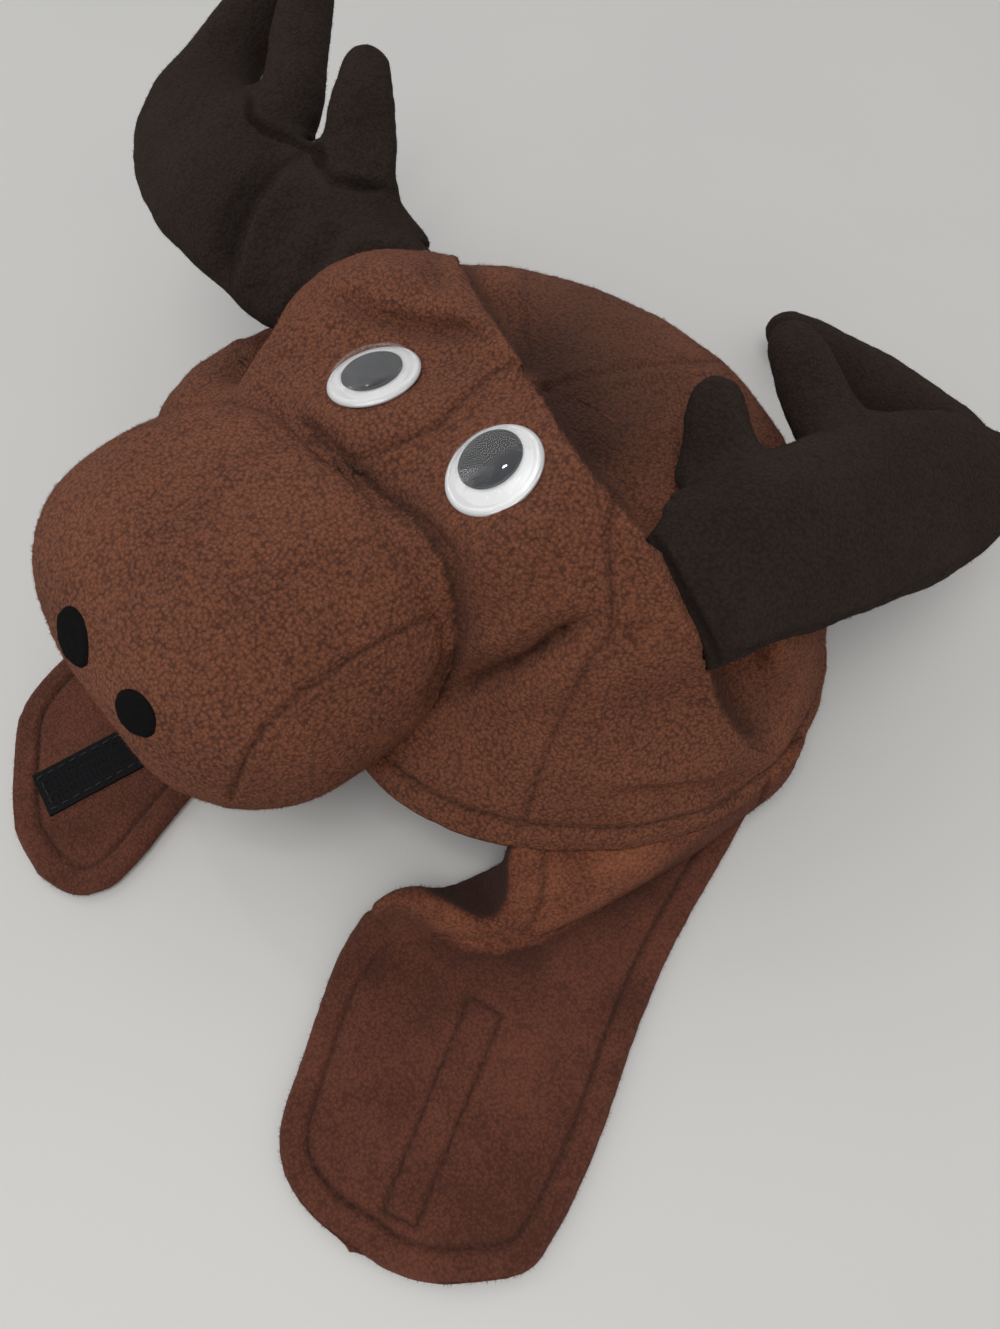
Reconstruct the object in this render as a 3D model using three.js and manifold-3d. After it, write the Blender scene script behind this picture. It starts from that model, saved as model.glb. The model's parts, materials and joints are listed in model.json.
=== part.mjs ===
// Moose hat: a soft fleece cap with stuffed antlers, a stuffed muzzle, loose-pupil eyes and two ear flaps.
// Units are millimetres, +Z is up, the face looks along -Y and the wearer's left is +X.
import * as THREE from "three";
import { mergeVertices } from "three/addons/utils/BufferGeometryUtils.js";
import Module from "manifold-3d";

const wasm = await Module();
wasm.setup();
const { Manifold, Mesh: SolidMesh } = wasm;

// driving sizes
const WALL = 3;            // fleece and lining of the crown
const GAP = 0.3;           // clearance between sewn pieces
const AXIS_X = 8;          // the crown is a set of profiles round this vertical axis
const AXIS_Y = -20;
const APEX_Z = 117;        // where the gores meet
const CROWN_COLS = 64;
const CROWN_ROWS = 17;
const FLAP_THICK = 4;      // two layers of fleece
const EYE_R = 12.8;
const PUPIL_R = 8.3;
const EYE_BASE_T = 1.4;
const DOME_H = 4.6;
const DOME_WALL = 0.7;
const STRIP_T = 1.2;
const FELT_T = 1.2;

// tables
// Crown profiles: azimuth from the front (degrees, wearer's left positive), then radius and height
// at the brim, the side, the shoulder, the top edge and the top.
const CROWN = [
  // az, r0, z0, r1, z1, r2, z2, r3, z3, r4, z4
  [-150, 103, 0.2, 104, 30, 92, 62, 68, 86, 34, 101],
  [-120, 110, 1.5, 112, 34, 99, 66, 72, 93, 38, 107],
  [-90, 119, 12, 126, 42, 104, 73, 79, 104, 42, 118],
  [-60, 117, 26, 130, 49, 108, 75, 76, 99, 42, 110],
  [-30, 98, 32, 100, 52, 83, 78, 58, 99, 34, 109],
  [0, 83, 33, 78, 53, 66, 82, 50, 104, 28, 114],
  [30, 92, 31, 76, 52, 62, 82, 48, 106, 29, 118],
  [60, 97, 28, 88, 50, 78, 76, 62, 103, 38, 119],
  [90, 101, 15, 94, 42, 85, 74, 64, 106, 40, 120],
  [120, 104, 3, 97, 30, 84, 62, 60, 88, 30, 100],
  [150, 101, 0.3, 97, 28, 85, 60, 62, 82, 30, 96],
  [180, 101, 0.2, 100, 28, 89, 60, 65, 82, 31, 97],
];
// Folds pressed into the crown: from a point to a point, depth, half width.
const FOLDS = [
  // x1, y1, z1, x2, y2, z2, depth, width
  [40, -76, 60, 88, -40, 72, 9, 11],
  [14, -26, 117, 8, -66, 108, 3, 7],
  [-86, -52, 84, -106, -12, 70, 9, 11],
  [-70, -78, 82, -86, -52, 84, 7, 11],
];
// Muzzle sections: distance along its axis, side shift, half width, half height, squareness.
const MUZZLE = [
  // s, side, w, h, n
  [0, 2, 46, 36, 2.3],
  [14, 1, 54, 40, 2.3],
  [34, -1, 60, 42.5, 2.4],
  [54, -2, 60, 42.5, 2.4],
  [68, -3, 55.5, 38.5, 2.5],
  [80, -2, 46, 31, 2.5],
  [87, -1, 35, 22, 2.4],
];
const MUZZLE_TIP = 90;
const MUZZLE_ROOT = [-18, -60, 66];
const MUZZLE_TURN = 4;     // degrees to the wearer's right
const MUZZLE_DROOP = 8;    // degrees below level

// Antlers: each limb is a row of points with a half width and a half thickness.
const ANTLER_RIGHT = {
  normal: [0.15, -0.35, 0.92],
  limbs: [
    [ // x, y, z, w, t
      [-56, -21, 90, 22, 13], [-74, -21, 92, 25, 13], [-106, -21, 93, 27, 14], [-140, -18, 92, 29.5, 15],
      [-172, -8, 91, 25, 13], [-188, 10, 93, 16, 12], [-195, 26, 98, 12.5, 11],
      [-200, 40, 104, 11, 10], [-206, 56, 109, 10, 9.5], [-210, 66, 112, 8, 8],
    ],
    [[-136, -4, 92, 10, 9], [-141, 9, 99, 11, 9.5], [-152, 22, 105, 11.5, 10], [-167, 38, 110, 10.8, 9.5],
      [-180, 53, 114, 9, 8.5]],
    [[-88, 1, 90, 16, 10], [-103, 10, 102, 12.5, 10], [-115, 21, 109, 11.5, 10], [-125, 32, 114, 9, 8]],
  ],
};
const ANTLER_LEFT = {
  normal: [0.6, -0.2, 0.77],
  limbs: [
    [
      [70, -35, 98, 19, 10], [73, -28, 99, 19, 12], [77, -10, 96, 22, 13], [79, 18, 86, 26, 15],
      [83, 51, 73, 27, 15], [88, 77, 62, 25, 14], [93, 97, 52, 18, 13],
    ],
    [[89, 92, 52, 16, 12], [77, 117, 38, 14.5, 12], [58, 131, 28, 13.5, 11], [39, 139, 20, 13, 11],
      [15, 143, 15, 12.5, 11], [-14, 143, 13, 10, 9]],
    [[74, 41, 80, 10, 9], [61, 48, 84, 10.5, 9.5], [45, 56, 86, 10.5, 10], [30, 65, 86, 9, 8.5]],
    [[65, -1, 93, 11, 9], [53, 5, 99, 10, 9], [46, 10, 104, 9.5, 9], [41, 14, 107, 8.5, 8]],
  ],
};

// Ear flaps: rows from the brim to the tip; the two edges, and how far the middle bows up.
const FLAP_LEFT = [
  // v, xa, ya, za, xb, yb, zb, bow
  [0.00, 76, -85, 27, 107, -18, 14, 2],
  [0.12, 82, -94, 15, 112, -28, 11, 8],
  [0.24, 80, -100, 7, 113, -40, 8, 3],
  [0.36, 64, -115, 18, 115, -55, 5, 0],
  [0.50, 58, -136, 4, 121, -68, 3, 2.6],
  [0.64, 66, -151, 1.5, 131, -92, 1.5, 3.1],
  [0.78, 76, -168, 1.5, 145, -120, 1.5, 3.2],
  [0.90, 85, -180, 1.5, 153, -142, 1.5, 3.4],
  [0.96, 95, -186.5, 1.5, 153.5, -154, 1.5, 2.4],
  [1.00, 109, -187.5, 1.5, 146, -168, 1.5, 0.8],
];
const FLAP_RIGHT = [
  [0.00, -111, -22, 11, -72, -92, 26, 2],
  [0.14, -113, -44, 8, -58, -100, 15, 4],
  [0.28, -104, -72, 4, -40, -104, 6, 3],
  [0.42, -98, -98, 2.4, -24, -112, 2.4, 2],
  [0.56, -91, -122, 2, -17, -127, 2, 1],
  [0.70, -84, -144, 2, -12, -145, 2, 0],
  [0.82, -80, -160, 2, -6, -164, 2, 0],
  [0.92, -72, -175, 2, -4, -178, 2, 0],
  [0.97, -63, -183, 2, -6, -186, 2, 0],
  [1.00, -50, -188, 2, -16, -191.5, 2, 0],
];
// Fastening strips: the ends of the middle line on the flap, seen from above, and the width.
const HOOK_STRIP = [-42.5, -180, -33, -121, 16];
const LOOP_STRIP = [98.5, -117, 123, -170.5, 15];
// Eyes: the point on the crown seen from above, and the way the eye looks.
const EYES = [
  // name, x, y, nx, ny, nz
  ["right", -23.6, -46.8, -0.28, -0.03, 0.96],
  ["left", 25.8, -48.4, -0.24, -0.32, 0.91],
];
// Nostrils: place on the muzzle (share of its length, angle round it) and half sizes.
const NOSTRILS = [
  // name, share, angle, half across, half up
  ["right", 0.915, 97, 7, 6.4],
  ["left", 0.89, 60, 6.6, 6],
];

// small tools
const V = (x, y, z) => new THREE.Vector3(x, y, z);
const rad = (d) => (d * Math.PI) / 180;

// Smooth value of column c of a table at position x of its first column.
function look(rows, c, x) {
  let k = 0;
  while (k < rows.length - 2 && x > rows[k + 1][0]) k++;
  const slope = (i) => {
    const a = rows[Math.max(0, i - 1)];
    const b = rows[Math.min(rows.length - 1, i + 1)];
    return (b[c] - a[c]) / (b[0] - a[0]);
  };
  const p = rows[k];
  const q = rows[k + 1];
  const h = q[0] - p[0];
  const u = Math.min(1, Math.max(0, (x - p[0]) / h));
  const u2 = u * u;
  const u3 = u2 * u;
  return (2 * u3 - 3 * u2 + 1) * p[c] + (u3 - 2 * u2 + u) * h * slope(k)
    + (3 * u2 - 2 * u3) * q[c] + (u3 - u2) * h * slope(k + 1);
}

// The normal of a surface f(u, v) by small steps.
function normalOf(f, u, v, du, dv) {
  const a = f(u + du, v).sub(f(u - du, v));
  const b = f(u, v + dv).sub(f(u, v - dv));
  return a.cross(b).normalize();
}

// Closed skin over rings of equal count, closed by a pole at each end.
function skin(rings, first, last) {
  const n = rings[0].length;
  const pos = [];
  const idx = [];
  for (const ring of rings) for (const p of ring) pos.push(p.x, p.y, p.z);
  for (let i = 0; i + 1 < rings.length; i++) {
    for (let j = 0; j < n; j++) {
      const a = i * n + j;
      const b = i * n + ((j + 1) % n);
      idx.push(a, b, a + n, b, b + n, a + n);
    }
  }
  const pole = (p, base, flip) => {
    const c = pos.length / 3;
    pos.push(p.x, p.y, p.z);
    for (let j = 0; j < n; j++) {
      const a = base + j;
      const b = base + ((j + 1) % n);
      if (flip) idx.push(a, b, c);
      else idx.push(b, a, c);
    }
  };
  pole(first, 0, false);
  pole(last, (rings.length - 1) * n, true);
  const g = new THREE.BufferGeometry();
  g.setAttribute("position", new THREE.Float32BufferAttribute(pos, 3));
  g.setIndex(idx);
  return g;
}

function volume(g) {
  const p = g.attributes.position;
  const ix = g.index.array;
  let v = 0;
  const a = V(); const b = V(); const c = V();
  for (let i = 0; i < ix.length; i += 3) {
    a.fromBufferAttribute(p, ix[i]); b.fromBufferAttribute(p, ix[i + 1]); c.fromBufferAttribute(p, ix[i + 2]);
    v += a.dot(b.clone().cross(c)) / 6;
  }
  return v;
}

function facing(g) {
  if (volume(g) < 0) {
    const ix = g.index.array;
    for (let i = 0; i < ix.length; i += 3) [ix[i], ix[i + 1]] = [ix[i + 1], ix[i]];
  }
  return g;
}

function toSolid(g) {
  const m = mergeVertices(facing(g), 1e-4);
  return Manifold.ofMesh(new SolidMesh({
    numProp: 3,
    vertProperties: Float32Array.from(m.attributes.position.array),
    triVerts: Uint32Array.from(m.index.array),
  }));
}

// Back to a geometry; only the largest body is kept.
function toGeometry(solid) {
  const body = solid.decompose().sort((p, q) => q.volume() - p.volume())[0];
  const m = body.getMesh();
  const pos = [];
  for (let i = 0; i < m.vertProperties.length; i += m.numProp) {
    pos.push(m.vertProperties[i], m.vertProperties[i + 1], m.vertProperties[i + 2]);
  }
  const g = new THREE.BufferGeometry();
  g.setAttribute("position", new THREE.Float32BufferAttribute(pos, 3));
  g.setIndex([...m.triVerts]);
  return g;
}

// crown
const crownRows = [];
for (const turn of [-360, 0, 360]) for (const row of CROWN) crownRows.push([row[0] + turn, ...row.slice(1)]);

function foldAt(p) {
  let d = 0;
  for (const [x1, y1, z1, x2, y2, z2, depth, width] of FOLDS) {
    const near = new THREE.Line3(V(x1, y1, z1), V(x2, y2, z2)).closestPointToPoint(p, true, V());
    d += depth * Math.exp(-((near.distanceTo(p) / width) ** 2));
  }
  return d;
}

// Plain dome: azimuth in degrees, v from the brim (0) to the apex (1).
function dome(az, v) {
  const pts = [];
  for (let k = 0; k < 5; k++) pts.push([k / 5, look(crownRows, 1 + 2 * k, az), look(crownRows, 2 + 2 * k, az)]);
  pts.push([1, 0, APEX_Z]);
  pts.push([1.2, -pts[4][1], pts[4][2]]);
  const r = look(pts, 1, v);
  const z = look(pts, 2, v);
  return V(AXIS_X + r * Math.sin(rad(az)), AXIS_Y - r * Math.cos(rad(az)), z);
}

const eyeSeats = EYES.map(([name, x, y, nx, ny, nz]) => {
  let best = null;
  for (let az = -180; az < 180; az += 1.5) {
    for (let v = 0.45; v < 1; v += 0.01) {
      const p = dome(az, v);
      const d = Math.hypot(p.x - x, p.y - y);
      if (!best || d < best.d) best = { d, p };
    }
  }
  return { name, at: best.p, n: V(nx, ny, nz).normalize() };
});

// Dome with its folds and the flat seats under the eyes, moved out by off.
function crown(az, v, off = 0) {
  const n = normalOf(dome, az, Math.min(v, 0.985), 1.5, 0.01);
  const p = dome(az, v);
  p.addScaledVector(n, off - foldAt(p));
  for (const seat of eyeSeats) {
    const d = p.clone().sub(seat.at);
    const h = d.dot(seat.n);
    const flat = Math.sqrt(Math.max(0, d.lengthSq() - h * h));
    const want = off;
    const w = 1 - THREE.MathUtils.smoothstep(flat, EYE_R + 5, EYE_R + 15);
    p.addScaledVector(seat.n, (want - h) * w);
  }
  return p;
}

function crownRings(off) {
  const rings = [];
  for (let i = 1; i <= CROWN_ROWS; i++) {
    const v = 1 - i / CROWN_ROWS;
    const ring = [];
    for (let j = 0; j < CROWN_COLS; j++) {
      const az = -180 + (360 * j) / CROWN_COLS;
      if (i < CROWN_ROWS || off > 0) ring.push(crown(az, v, off));
      // the brim's edge is cut square, so its inner rim is level with the outer one
      else ring.push(crown(az, v, 0).add(V(Math.sin(rad(az)), -Math.cos(rad(az)), 0).multiplyScalar(off)));
    }
    rings.push(ring);
  }
  return rings;
}

function crownGeometry() {
  const outer = crownRings(0);
  const inner = crownRings(-WALL).reverse();
  return facing(skin([...outer, ...inner], crown(0, 1, 0), crown(0, 1, -WALL)));
}

// The crown filled solid and grown by the gap: what the sewn-on pieces are cut with.
function crownCutter() {
  const rings = crownRings(GAP);
  const low = rings[rings.length - 1].map((p) => V(p.x, p.y, p.z - GAP));
  return toSolid(skin([...rings, low], crown(0, 1, GAP), V(AXIS_X, AXIS_Y, -1)));
}

// muzzle
const mzFront = V(-Math.sin(rad(MUZZLE_TURN)) * Math.cos(rad(MUZZLE_DROOP)),
  -Math.cos(rad(MUZZLE_TURN)) * Math.cos(rad(MUZZLE_DROOP)), -Math.sin(rad(MUZZLE_DROOP)));
const mzSide = V(Math.cos(rad(MUZZLE_TURN)), -Math.sin(rad(MUZZLE_TURN)), 0);
const mzUp = mzSide.clone().cross(mzFront).negate().normalize();
if (mzUp.z < 0) mzUp.negate();
const mzRoot = V(...MUZZLE_ROOT);

// share 0..1 of its length, angle in degrees from the wearer's left side upwards
function muzzle(share, ang, off = 0) {
  const s = Math.min(share, 1) * MUZZLE_TIP;
  const f = look(MUZZLE, 1, s);
  const nn = look(MUZZLE, 4, s);
  let w = look(MUZZLE, 2, s);
  let h = look(MUZZLE, 3, s);
  const full = MUZZLE[MUZZLE.length - 1][0];
  if (s > full) {
    const k = Math.sqrt(Math.max(0, 1 - ((s - full) / (MUZZLE_TIP - full + 0.1)) ** 2));
    w *= k;
    h *= k;
  }
  const c = Math.cos(rad(ang));
  const q = Math.sin(rad(ang));
  const x = Math.sign(c) * Math.abs(c) ** (2 / nn) * (w + off);
  const y = Math.sign(q) * Math.abs(q) ** (2 / nn) * (h + off);
  return mzRoot.clone().addScaledVector(mzFront, s + (s > 80 ? off : 0)).addScaledVector(mzSide, f + x)
    .addScaledVector(mzUp, y);
}

function muzzleSolid(off = 0, cols = 32, rows = 12) {
  const rings = [];
  for (let i = 0; i < rows; i++) {
    const share = Math.sin((Math.PI / 2) * (i / (rows - 0.45)));
    const ring = [];
    for (let j = 0; j < cols; j++) ring.push(muzzle(share, (360 * j) / cols, off));
    rings.push(ring);
  }
  return toSolid(skin(rings, mzRoot.clone(), mzRoot.clone().addScaledVector(mzFront, MUZZLE_TIP + off)));
}

// stuffed limbs
function limb(rows, normal, cols = 16, steps = 2) {
  const n = V(...normal).normalize();
  const t = rows.map((r, i) => [i, ...r]);
  const point = (u) => V(look(t, 1, u), look(t, 2, u), look(t, 3, u));
  const last = rows.length - 1;
  const rings = [];
  const us = [];
  for (let k = 0; k <= last * steps; k++) us.push(k / steps);
  const ringAt = (c, dir, w, h) => {
    const side = n.clone().cross(dir).normalize();
    const up = dir.clone().cross(side).normalize();
    const ring = [];
    for (let j = 0; j < cols; j++) {
      const a = (2 * Math.PI * j) / cols;
      ring.push(c.clone().addScaledVector(side, w * Math.cos(a)).addScaledVector(up, h * Math.sin(a)));
    }
    return ring;
  };
  const dirAt = (u) => point(Math.min(last, u + 0.05)).sub(point(Math.max(0, u - 0.05))).normalize();
  for (const u of us) rings.push(ringAt(point(u), dirAt(u), look(t, 4, u), look(t, 5, u)));
  const d = dirAt(last);
  const w = rows[last][3];
  const h = rows[last][4];
  for (const k of [0.45, 0.8]) {
    const s = Math.sqrt(1 - k * k);
    rings.push(ringAt(point(last).addScaledVector(d, k * w), d, w * s, h * s));
  }
  return toSolid(skin(rings, point(0).addScaledVector(dirAt(0), -2), point(last).addScaledVector(d, w)));
}

function antler(spec, cutter) {
  let all = null;
  for (const [i, rows] of spec.limbs.entries()) {
    const one = limb(rows, spec.normal, i ? 10 : 14);
    all = all ? all.add(one) : one;
  }
  return toGeometry(all.subtract(cutter));
}

// flaps
function flapMid(rows, u, v) {
  const g = (c) => look(rows, c, v);
  const p = V(g(1), g(2), g(3)).lerp(V(g(4), g(5), g(6)), u);
  p.z += g(7) * Math.sin(Math.PI * u);
  return p;
}

function flap(rows, u, v, off = 0) {
  const uu = Math.min(0.999, Math.max(0.001, u));
  const vv = Math.min(0.999, Math.max(0.001, v));
  const n = normalOf((a, b) => flapMid(rows, a, b), uu, vv, 0.004, 0.004);
  if (n.z < 0) n.negate();
  return flapMid(rows, u, v).addScaledVector(n, off);
}

function flapSolid(rows, cols = 9, lines = 22) {
  const ring = (v, k) => {
    const top = [];
    const low = [];
    for (let j = 0; j <= cols; j++) {
      const u = j / cols;
      const thin = j === 0 || j === cols ? 0.45 : 1;
      top.push(flap(rows, u, v, (FLAP_THICK / 2) * k * thin));
      low.push(flap(rows, u, v, -(FLAP_THICK / 2) * k * thin));
    }
    return [...top, ...low.reverse()];
  };
  const rings = [];
  for (let i = 0; i <= lines; i++) rings.push(ring(i / lines, i === 0 || i === lines ? 0.45 : 1));
  const mid = (v) => flap(rows, 0.5, v, 0);
  return toSolid(skin(rings, mid(0), mid(1)));
}

// A thin piece that lies on a surface f(u, v, off): an outline in u, v, from off a to off b.
function patch(f, outline, a, b, rings = 3) {
  const cu = outline.reduce((s, p) => s + p[0], 0) / outline.length;
  const cv = outline.reduce((s, p) => s + p[1], 0) / outline.length;
  const list = [];
  for (let k = 1; k <= rings; k++) {
    list.push(outline.map(([u, v]) => f(cu + ((u - cu) * k) / rings, cv + ((v - cv) * k) / rings, b)));
  }
  for (let k = rings; k >= 1; k--) {
    list.push(outline.map(([u, v]) => f(cu + ((u - cu) * k) / rings, cv + ((v - cv) * k) / rings, a)));
  }
  return skin(list, f(cu, cv, b), f(cu, cv, a));
}

// The u, v of a surface whose point has the given x, y along the axes ax, ay from a base point.
function locate(f, base, ax, ay, x, y, u, v, step) {
  for (let k = 0; k < 14; k++) {
    const p = f(u, v).sub(base);
    const a = f(u + step[0], v).sub(base).sub(p).divideScalar(step[0]);
    const b = f(u, v + step[1]).sub(base).sub(p).divideScalar(step[1]);
    const [au, av, bu, bv] = [a.dot(ax), a.dot(ay), b.dot(ax), b.dot(ay)];
    const det = au * bv - av * bu;
    const [dx, dy] = [x - p.dot(ax), y - p.dot(ay)];
    u += (dx * bv - dy * bu) / det;
    v += (au * dy - av * dx) / det;
  }
  return [u, v];
}

// A sewn strip on the upper (side 1) or hidden (side -1) face of a flap.
function strip(rows, [x0, y0, x1, y1, width], side) {
  const along = new THREE.Vector2(x1 - x0, y1 - y0);
  const across = new THREE.Vector2(-along.y, along.x).setLength(width / 2);
  const outline = [];
  const edge = (a, b, c, d, n) => {
    for (let k = 0; k < n; k++) outline.push([a + ((c - a) * k) / n, b + ((d - b) * k) / n]);
  };
  edge(0, -1, 1, -1, 10);
  edge(1, -1, 1, 1, 3);
  edge(1, 1, 0, 1, 10);
  edge(0, 1, 0, -1, 3);
  const near = FLAP_THICK / 2 + 0.4;
  const mid = (u, v) => flapMid(rows, u, v);
  const on = (s, t, off) => flap(rows, ...locate(mid, V(), V(1, 0, 0), V(0, 1, 0),
    x0 + along.x * s + across.x * t, y0 + along.y * s + across.y * t, 0.5, 0.7, [0.01, 0.01]), off * side);
  return facing(patch(on, outline, near, near + STRIP_T, 2));
}

// A felt oval on the muzzle, cut off where it meets the muzzle's skin.
function nostril([, share, ang, half, tall], skinGrown) {
  const base = muzzle(share, ang);
  const out = (u, v) => {
    const n = normalOf(muzzle, u, v, 0.004, 1);
    return n.dot(mzFront) + n.dot(mzUp) < 0 ? n.negate() : n;
  };
  const n = out(share, ang);
  const ax = V(0, 0, 1).cross(n).normalize();
  const ay = n.clone().cross(ax);
  const outline = [];
  for (let j = 0; j < 16; j++) outline.push([half * Math.cos((j * Math.PI) / 8), tall * Math.sin((j * Math.PI) / 8)]);
  const on = (x, y, off) => {
    const [u, v] = locate(muzzle, base, ax, ay, x, y, share, ang, [0.003, 1]);
    return muzzle(u, v).addScaledVector(out(u, v), off);
  };
  return toGeometry(toSolid(patch(on, outline, -0.8, GAP + FELT_T, 2)).subtract(skinGrown));
}

// eyes
// Turned shape about z: profile of [r, z] pairs, closed from axis to axis.
function turned(profile, seg = 24) {
  const rings = profile.slice(1, -1).map(([r, z]) => {
    const ring = [];
    for (let j = 0; j < seg; j++) {
      const a = (2 * Math.PI * j) / seg;
      ring.push(V(r * Math.cos(a), r * Math.sin(a), z));
    }
    return ring;
  });
  const a = profile[0];
  const b = profile[profile.length - 1];
  return facing(skin(rings, V(0, 0, a[1]), V(0, 0, b[1])));
}

function seatMatrix(seat, lift, shift = [0, 0]) {
  const z = seat.n;
  const x = V(0, 1, 0).cross(z).negate().normalize();
  const y = z.clone().cross(x);
  const o = seat.at.clone().addScaledVector(z, lift).addScaledVector(x, shift[0]).addScaledVector(y, shift[1]);
  return new THREE.Matrix4().makeBasis(x, y, z).setPosition(o);
}

function eyePieces() {
  const floor = GAP + EYE_BASE_T;
  const base = [[0, 0], [EYE_R, 0], [EYE_R, EYE_BASE_T], [0, EYE_BASE_T]];
  const pupil = [[0, 0], [PUPIL_R - 0.3, 0], [PUPIL_R, 0.35], [PUPIL_R - 0.3, 0.8], [0, 0.8]];
  const cap = [];
  const arc = (r, h, n) => {
    const R = (r * r + h * h) / (2 * h);
    const out = [];
    for (let i = 0; i <= n; i++) {
      const a = Math.asin(r / R) * (i / n);
      out.push([R * Math.sin(a), h - R * (1 - Math.cos(a))]);
    }
    return out;
  };
  const lip = 0.9;
  for (const [r, z] of arc(EYE_R, DOME_H - lip, 3)) cap.push([r, z + lip]);
  cap.push([EYE_R, 0], [EYE_R - DOME_WALL, 0]);
  for (const [r, z] of arc(EYE_R - DOME_WALL, DOME_H - lip - DOME_WALL, 3).reverse()) cap.push([r, z + lip]);
  const out = [];
  for (const seat of eyeSeats) {
    out.push([`eye_base_${seat.name}`, turned(base), "eye_white", seatMatrix(seat, GAP)]);
    out.push([`eye_pupil_${seat.name}`, turned(pupil, 18), "eye_pupil",
      seatMatrix(seat, floor + 0.3, seat.name === "left" ? [-1.4, 2.6] : [-1.5, 2.4])]);
    out.push([`eye_dome_${seat.name}`, turned(cap), "eye_dome", seatMatrix(seat, floor + 0.25)]);
  }
  return out;
}

// build
const root = new THREE.Group();
root.name = "moose_hat";
const COLOURS = {
  fleece: 0x6a4432, fleece_back: 0x5a3626, antler_fleece: 0x2c2422, eye_white: 0xe8e6e2, eye_pupil: 0x34363a,
  eye_dome: 0xf4f6f8, nostril_felt: 0x17171a, strip: 0x151517,
};

function add(name, geometry, colour, matrix) {
  if (matrix) geometry.applyMatrix4(matrix);
  const clean = mergeVertices(geometry, 1e-4);
  clean.computeVertexNormals();
  const mesh = new THREE.Mesh(clean, new THREE.MeshStandardMaterial({ color: COLOURS[colour], name: colour }));
  mesh.name = name;
  root.add(mesh);
}

const cutter = crownCutter();
add("crown", crownGeometry(), "fleece");
add("muzzle", toGeometry(muzzleSolid().subtract(cutter)), "fleece");
add("antler_right", antler(ANTLER_RIGHT, cutter), "antler_fleece");
add("antler_left", antler(ANTLER_LEFT, cutter), "antler_fleece");
add("ear_flap_left", toGeometry(flapSolid(FLAP_LEFT).subtract(cutter)), "fleece_back");
add("ear_flap_right", toGeometry(flapSolid(FLAP_RIGHT).subtract(cutter).subtract(muzzleSolid(GAP))), "fleece_back");
for (const [name, geometry, colour, matrix] of eyePieces()) add(name, geometry, colour, matrix);
const grownMuzzle = muzzleSolid(GAP);
for (const row of NOSTRILS) add(`nostril_${row[0]}`, nostril(row, grownMuzzle), "nostril_felt");
add("hook_strip", strip(FLAP_RIGHT, HOOK_STRIP, 1), "strip");
add("loop_strip", strip(FLAP_LEFT, LOOP_STRIP, -1), "strip");

// The origin is the middle of the base.
const bounds = new THREE.Box3().setFromObject(root);
const middle = bounds.getCenter(V());
for (const mesh of root.children) mesh.geometry.translate(-middle.x, -middle.y, -bounds.min.z);

export default root;
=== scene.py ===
# %% [markdown]
# # A soft moose hat, dressed up from its CAD model
# The hat is fleece, wadding and a few craft plastics. The CAD model gives every size and place. This
# script loads it as a fixed frame, then sews a softer, finer copy of each piece over it: the folds,
# seams, hems and nap that cloth has. All lengths are in metres.

# %% Load the frame
import bpy, bmesh, json, math
import numpy as np
from mathutils import Matrix, Vector
from mathutils.bvhtree import BVHTree
from mathutils.kdtree import KDTree

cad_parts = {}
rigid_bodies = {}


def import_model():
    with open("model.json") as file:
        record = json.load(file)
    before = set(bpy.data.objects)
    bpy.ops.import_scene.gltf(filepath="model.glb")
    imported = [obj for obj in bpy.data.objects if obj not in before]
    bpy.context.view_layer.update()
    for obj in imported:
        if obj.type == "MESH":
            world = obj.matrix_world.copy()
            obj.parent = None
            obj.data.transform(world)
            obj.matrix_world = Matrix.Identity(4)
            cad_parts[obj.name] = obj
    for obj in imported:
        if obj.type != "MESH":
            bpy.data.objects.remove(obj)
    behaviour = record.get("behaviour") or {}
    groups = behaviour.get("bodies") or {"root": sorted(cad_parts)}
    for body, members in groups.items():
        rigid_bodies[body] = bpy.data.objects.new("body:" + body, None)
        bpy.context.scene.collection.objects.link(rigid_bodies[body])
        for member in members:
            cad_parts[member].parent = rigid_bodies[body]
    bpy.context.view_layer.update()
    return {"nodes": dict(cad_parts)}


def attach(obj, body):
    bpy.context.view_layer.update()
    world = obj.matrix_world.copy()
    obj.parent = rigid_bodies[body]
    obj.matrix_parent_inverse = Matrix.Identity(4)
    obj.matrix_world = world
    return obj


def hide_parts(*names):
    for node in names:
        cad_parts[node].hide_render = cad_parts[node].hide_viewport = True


for old in list(bpy.data.objects):
    bpy.data.objects.remove(old)
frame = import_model()
MM = 0.001
SHIFT = Vector((31.98, 18.16, 0.06))     # from the tables' own origin to the frame's, in mm

# %% [markdown]
# ## The camera first
# The picture is taken from close above the hat, so perspective is strong: what is near looks much
# larger. The camera is fitted once, and folds and seams can then be given where they are seen, as
# points of a picture 1000 wide and 1329 high. `seen` tells where a point in space lands in it.

# %% The camera
EYE_AT = (Vector((140.3, -150.55, 300.0)) + SHIFT) * MM
TURN, DOWN = math.radians(48.0), math.radians(61.0)
PIC_W, PIC_H, FOCAL, SENSOR = 1000.0, 1329.0, 1000.0, 36.0
RIGHT = Vector((math.cos(TURN), math.sin(TURN), 0))
LOOK = Vector((-math.sin(TURN) * math.cos(DOWN), math.cos(TURN) * math.cos(DOWN), -math.sin(DOWN)))
UP = RIGHT.cross(LOOK)

camera = bpy.data.objects.new("camera", bpy.data.cameras.new("camera"))
bpy.context.scene.collection.objects.link(camera)
camera.matrix_world = Matrix.Translation(EYE_AT) @ Matrix((RIGHT, UP, -LOOK)).transposed().to_4x4()
camera.data.sensor_width = SENSOR
camera.data.lens = SENSOR * FOCAL / PIC_H
camera.data.clip_start, camera.data.clip_end = 0.01, 20.0
bpy.context.scene.camera = camera


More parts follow.
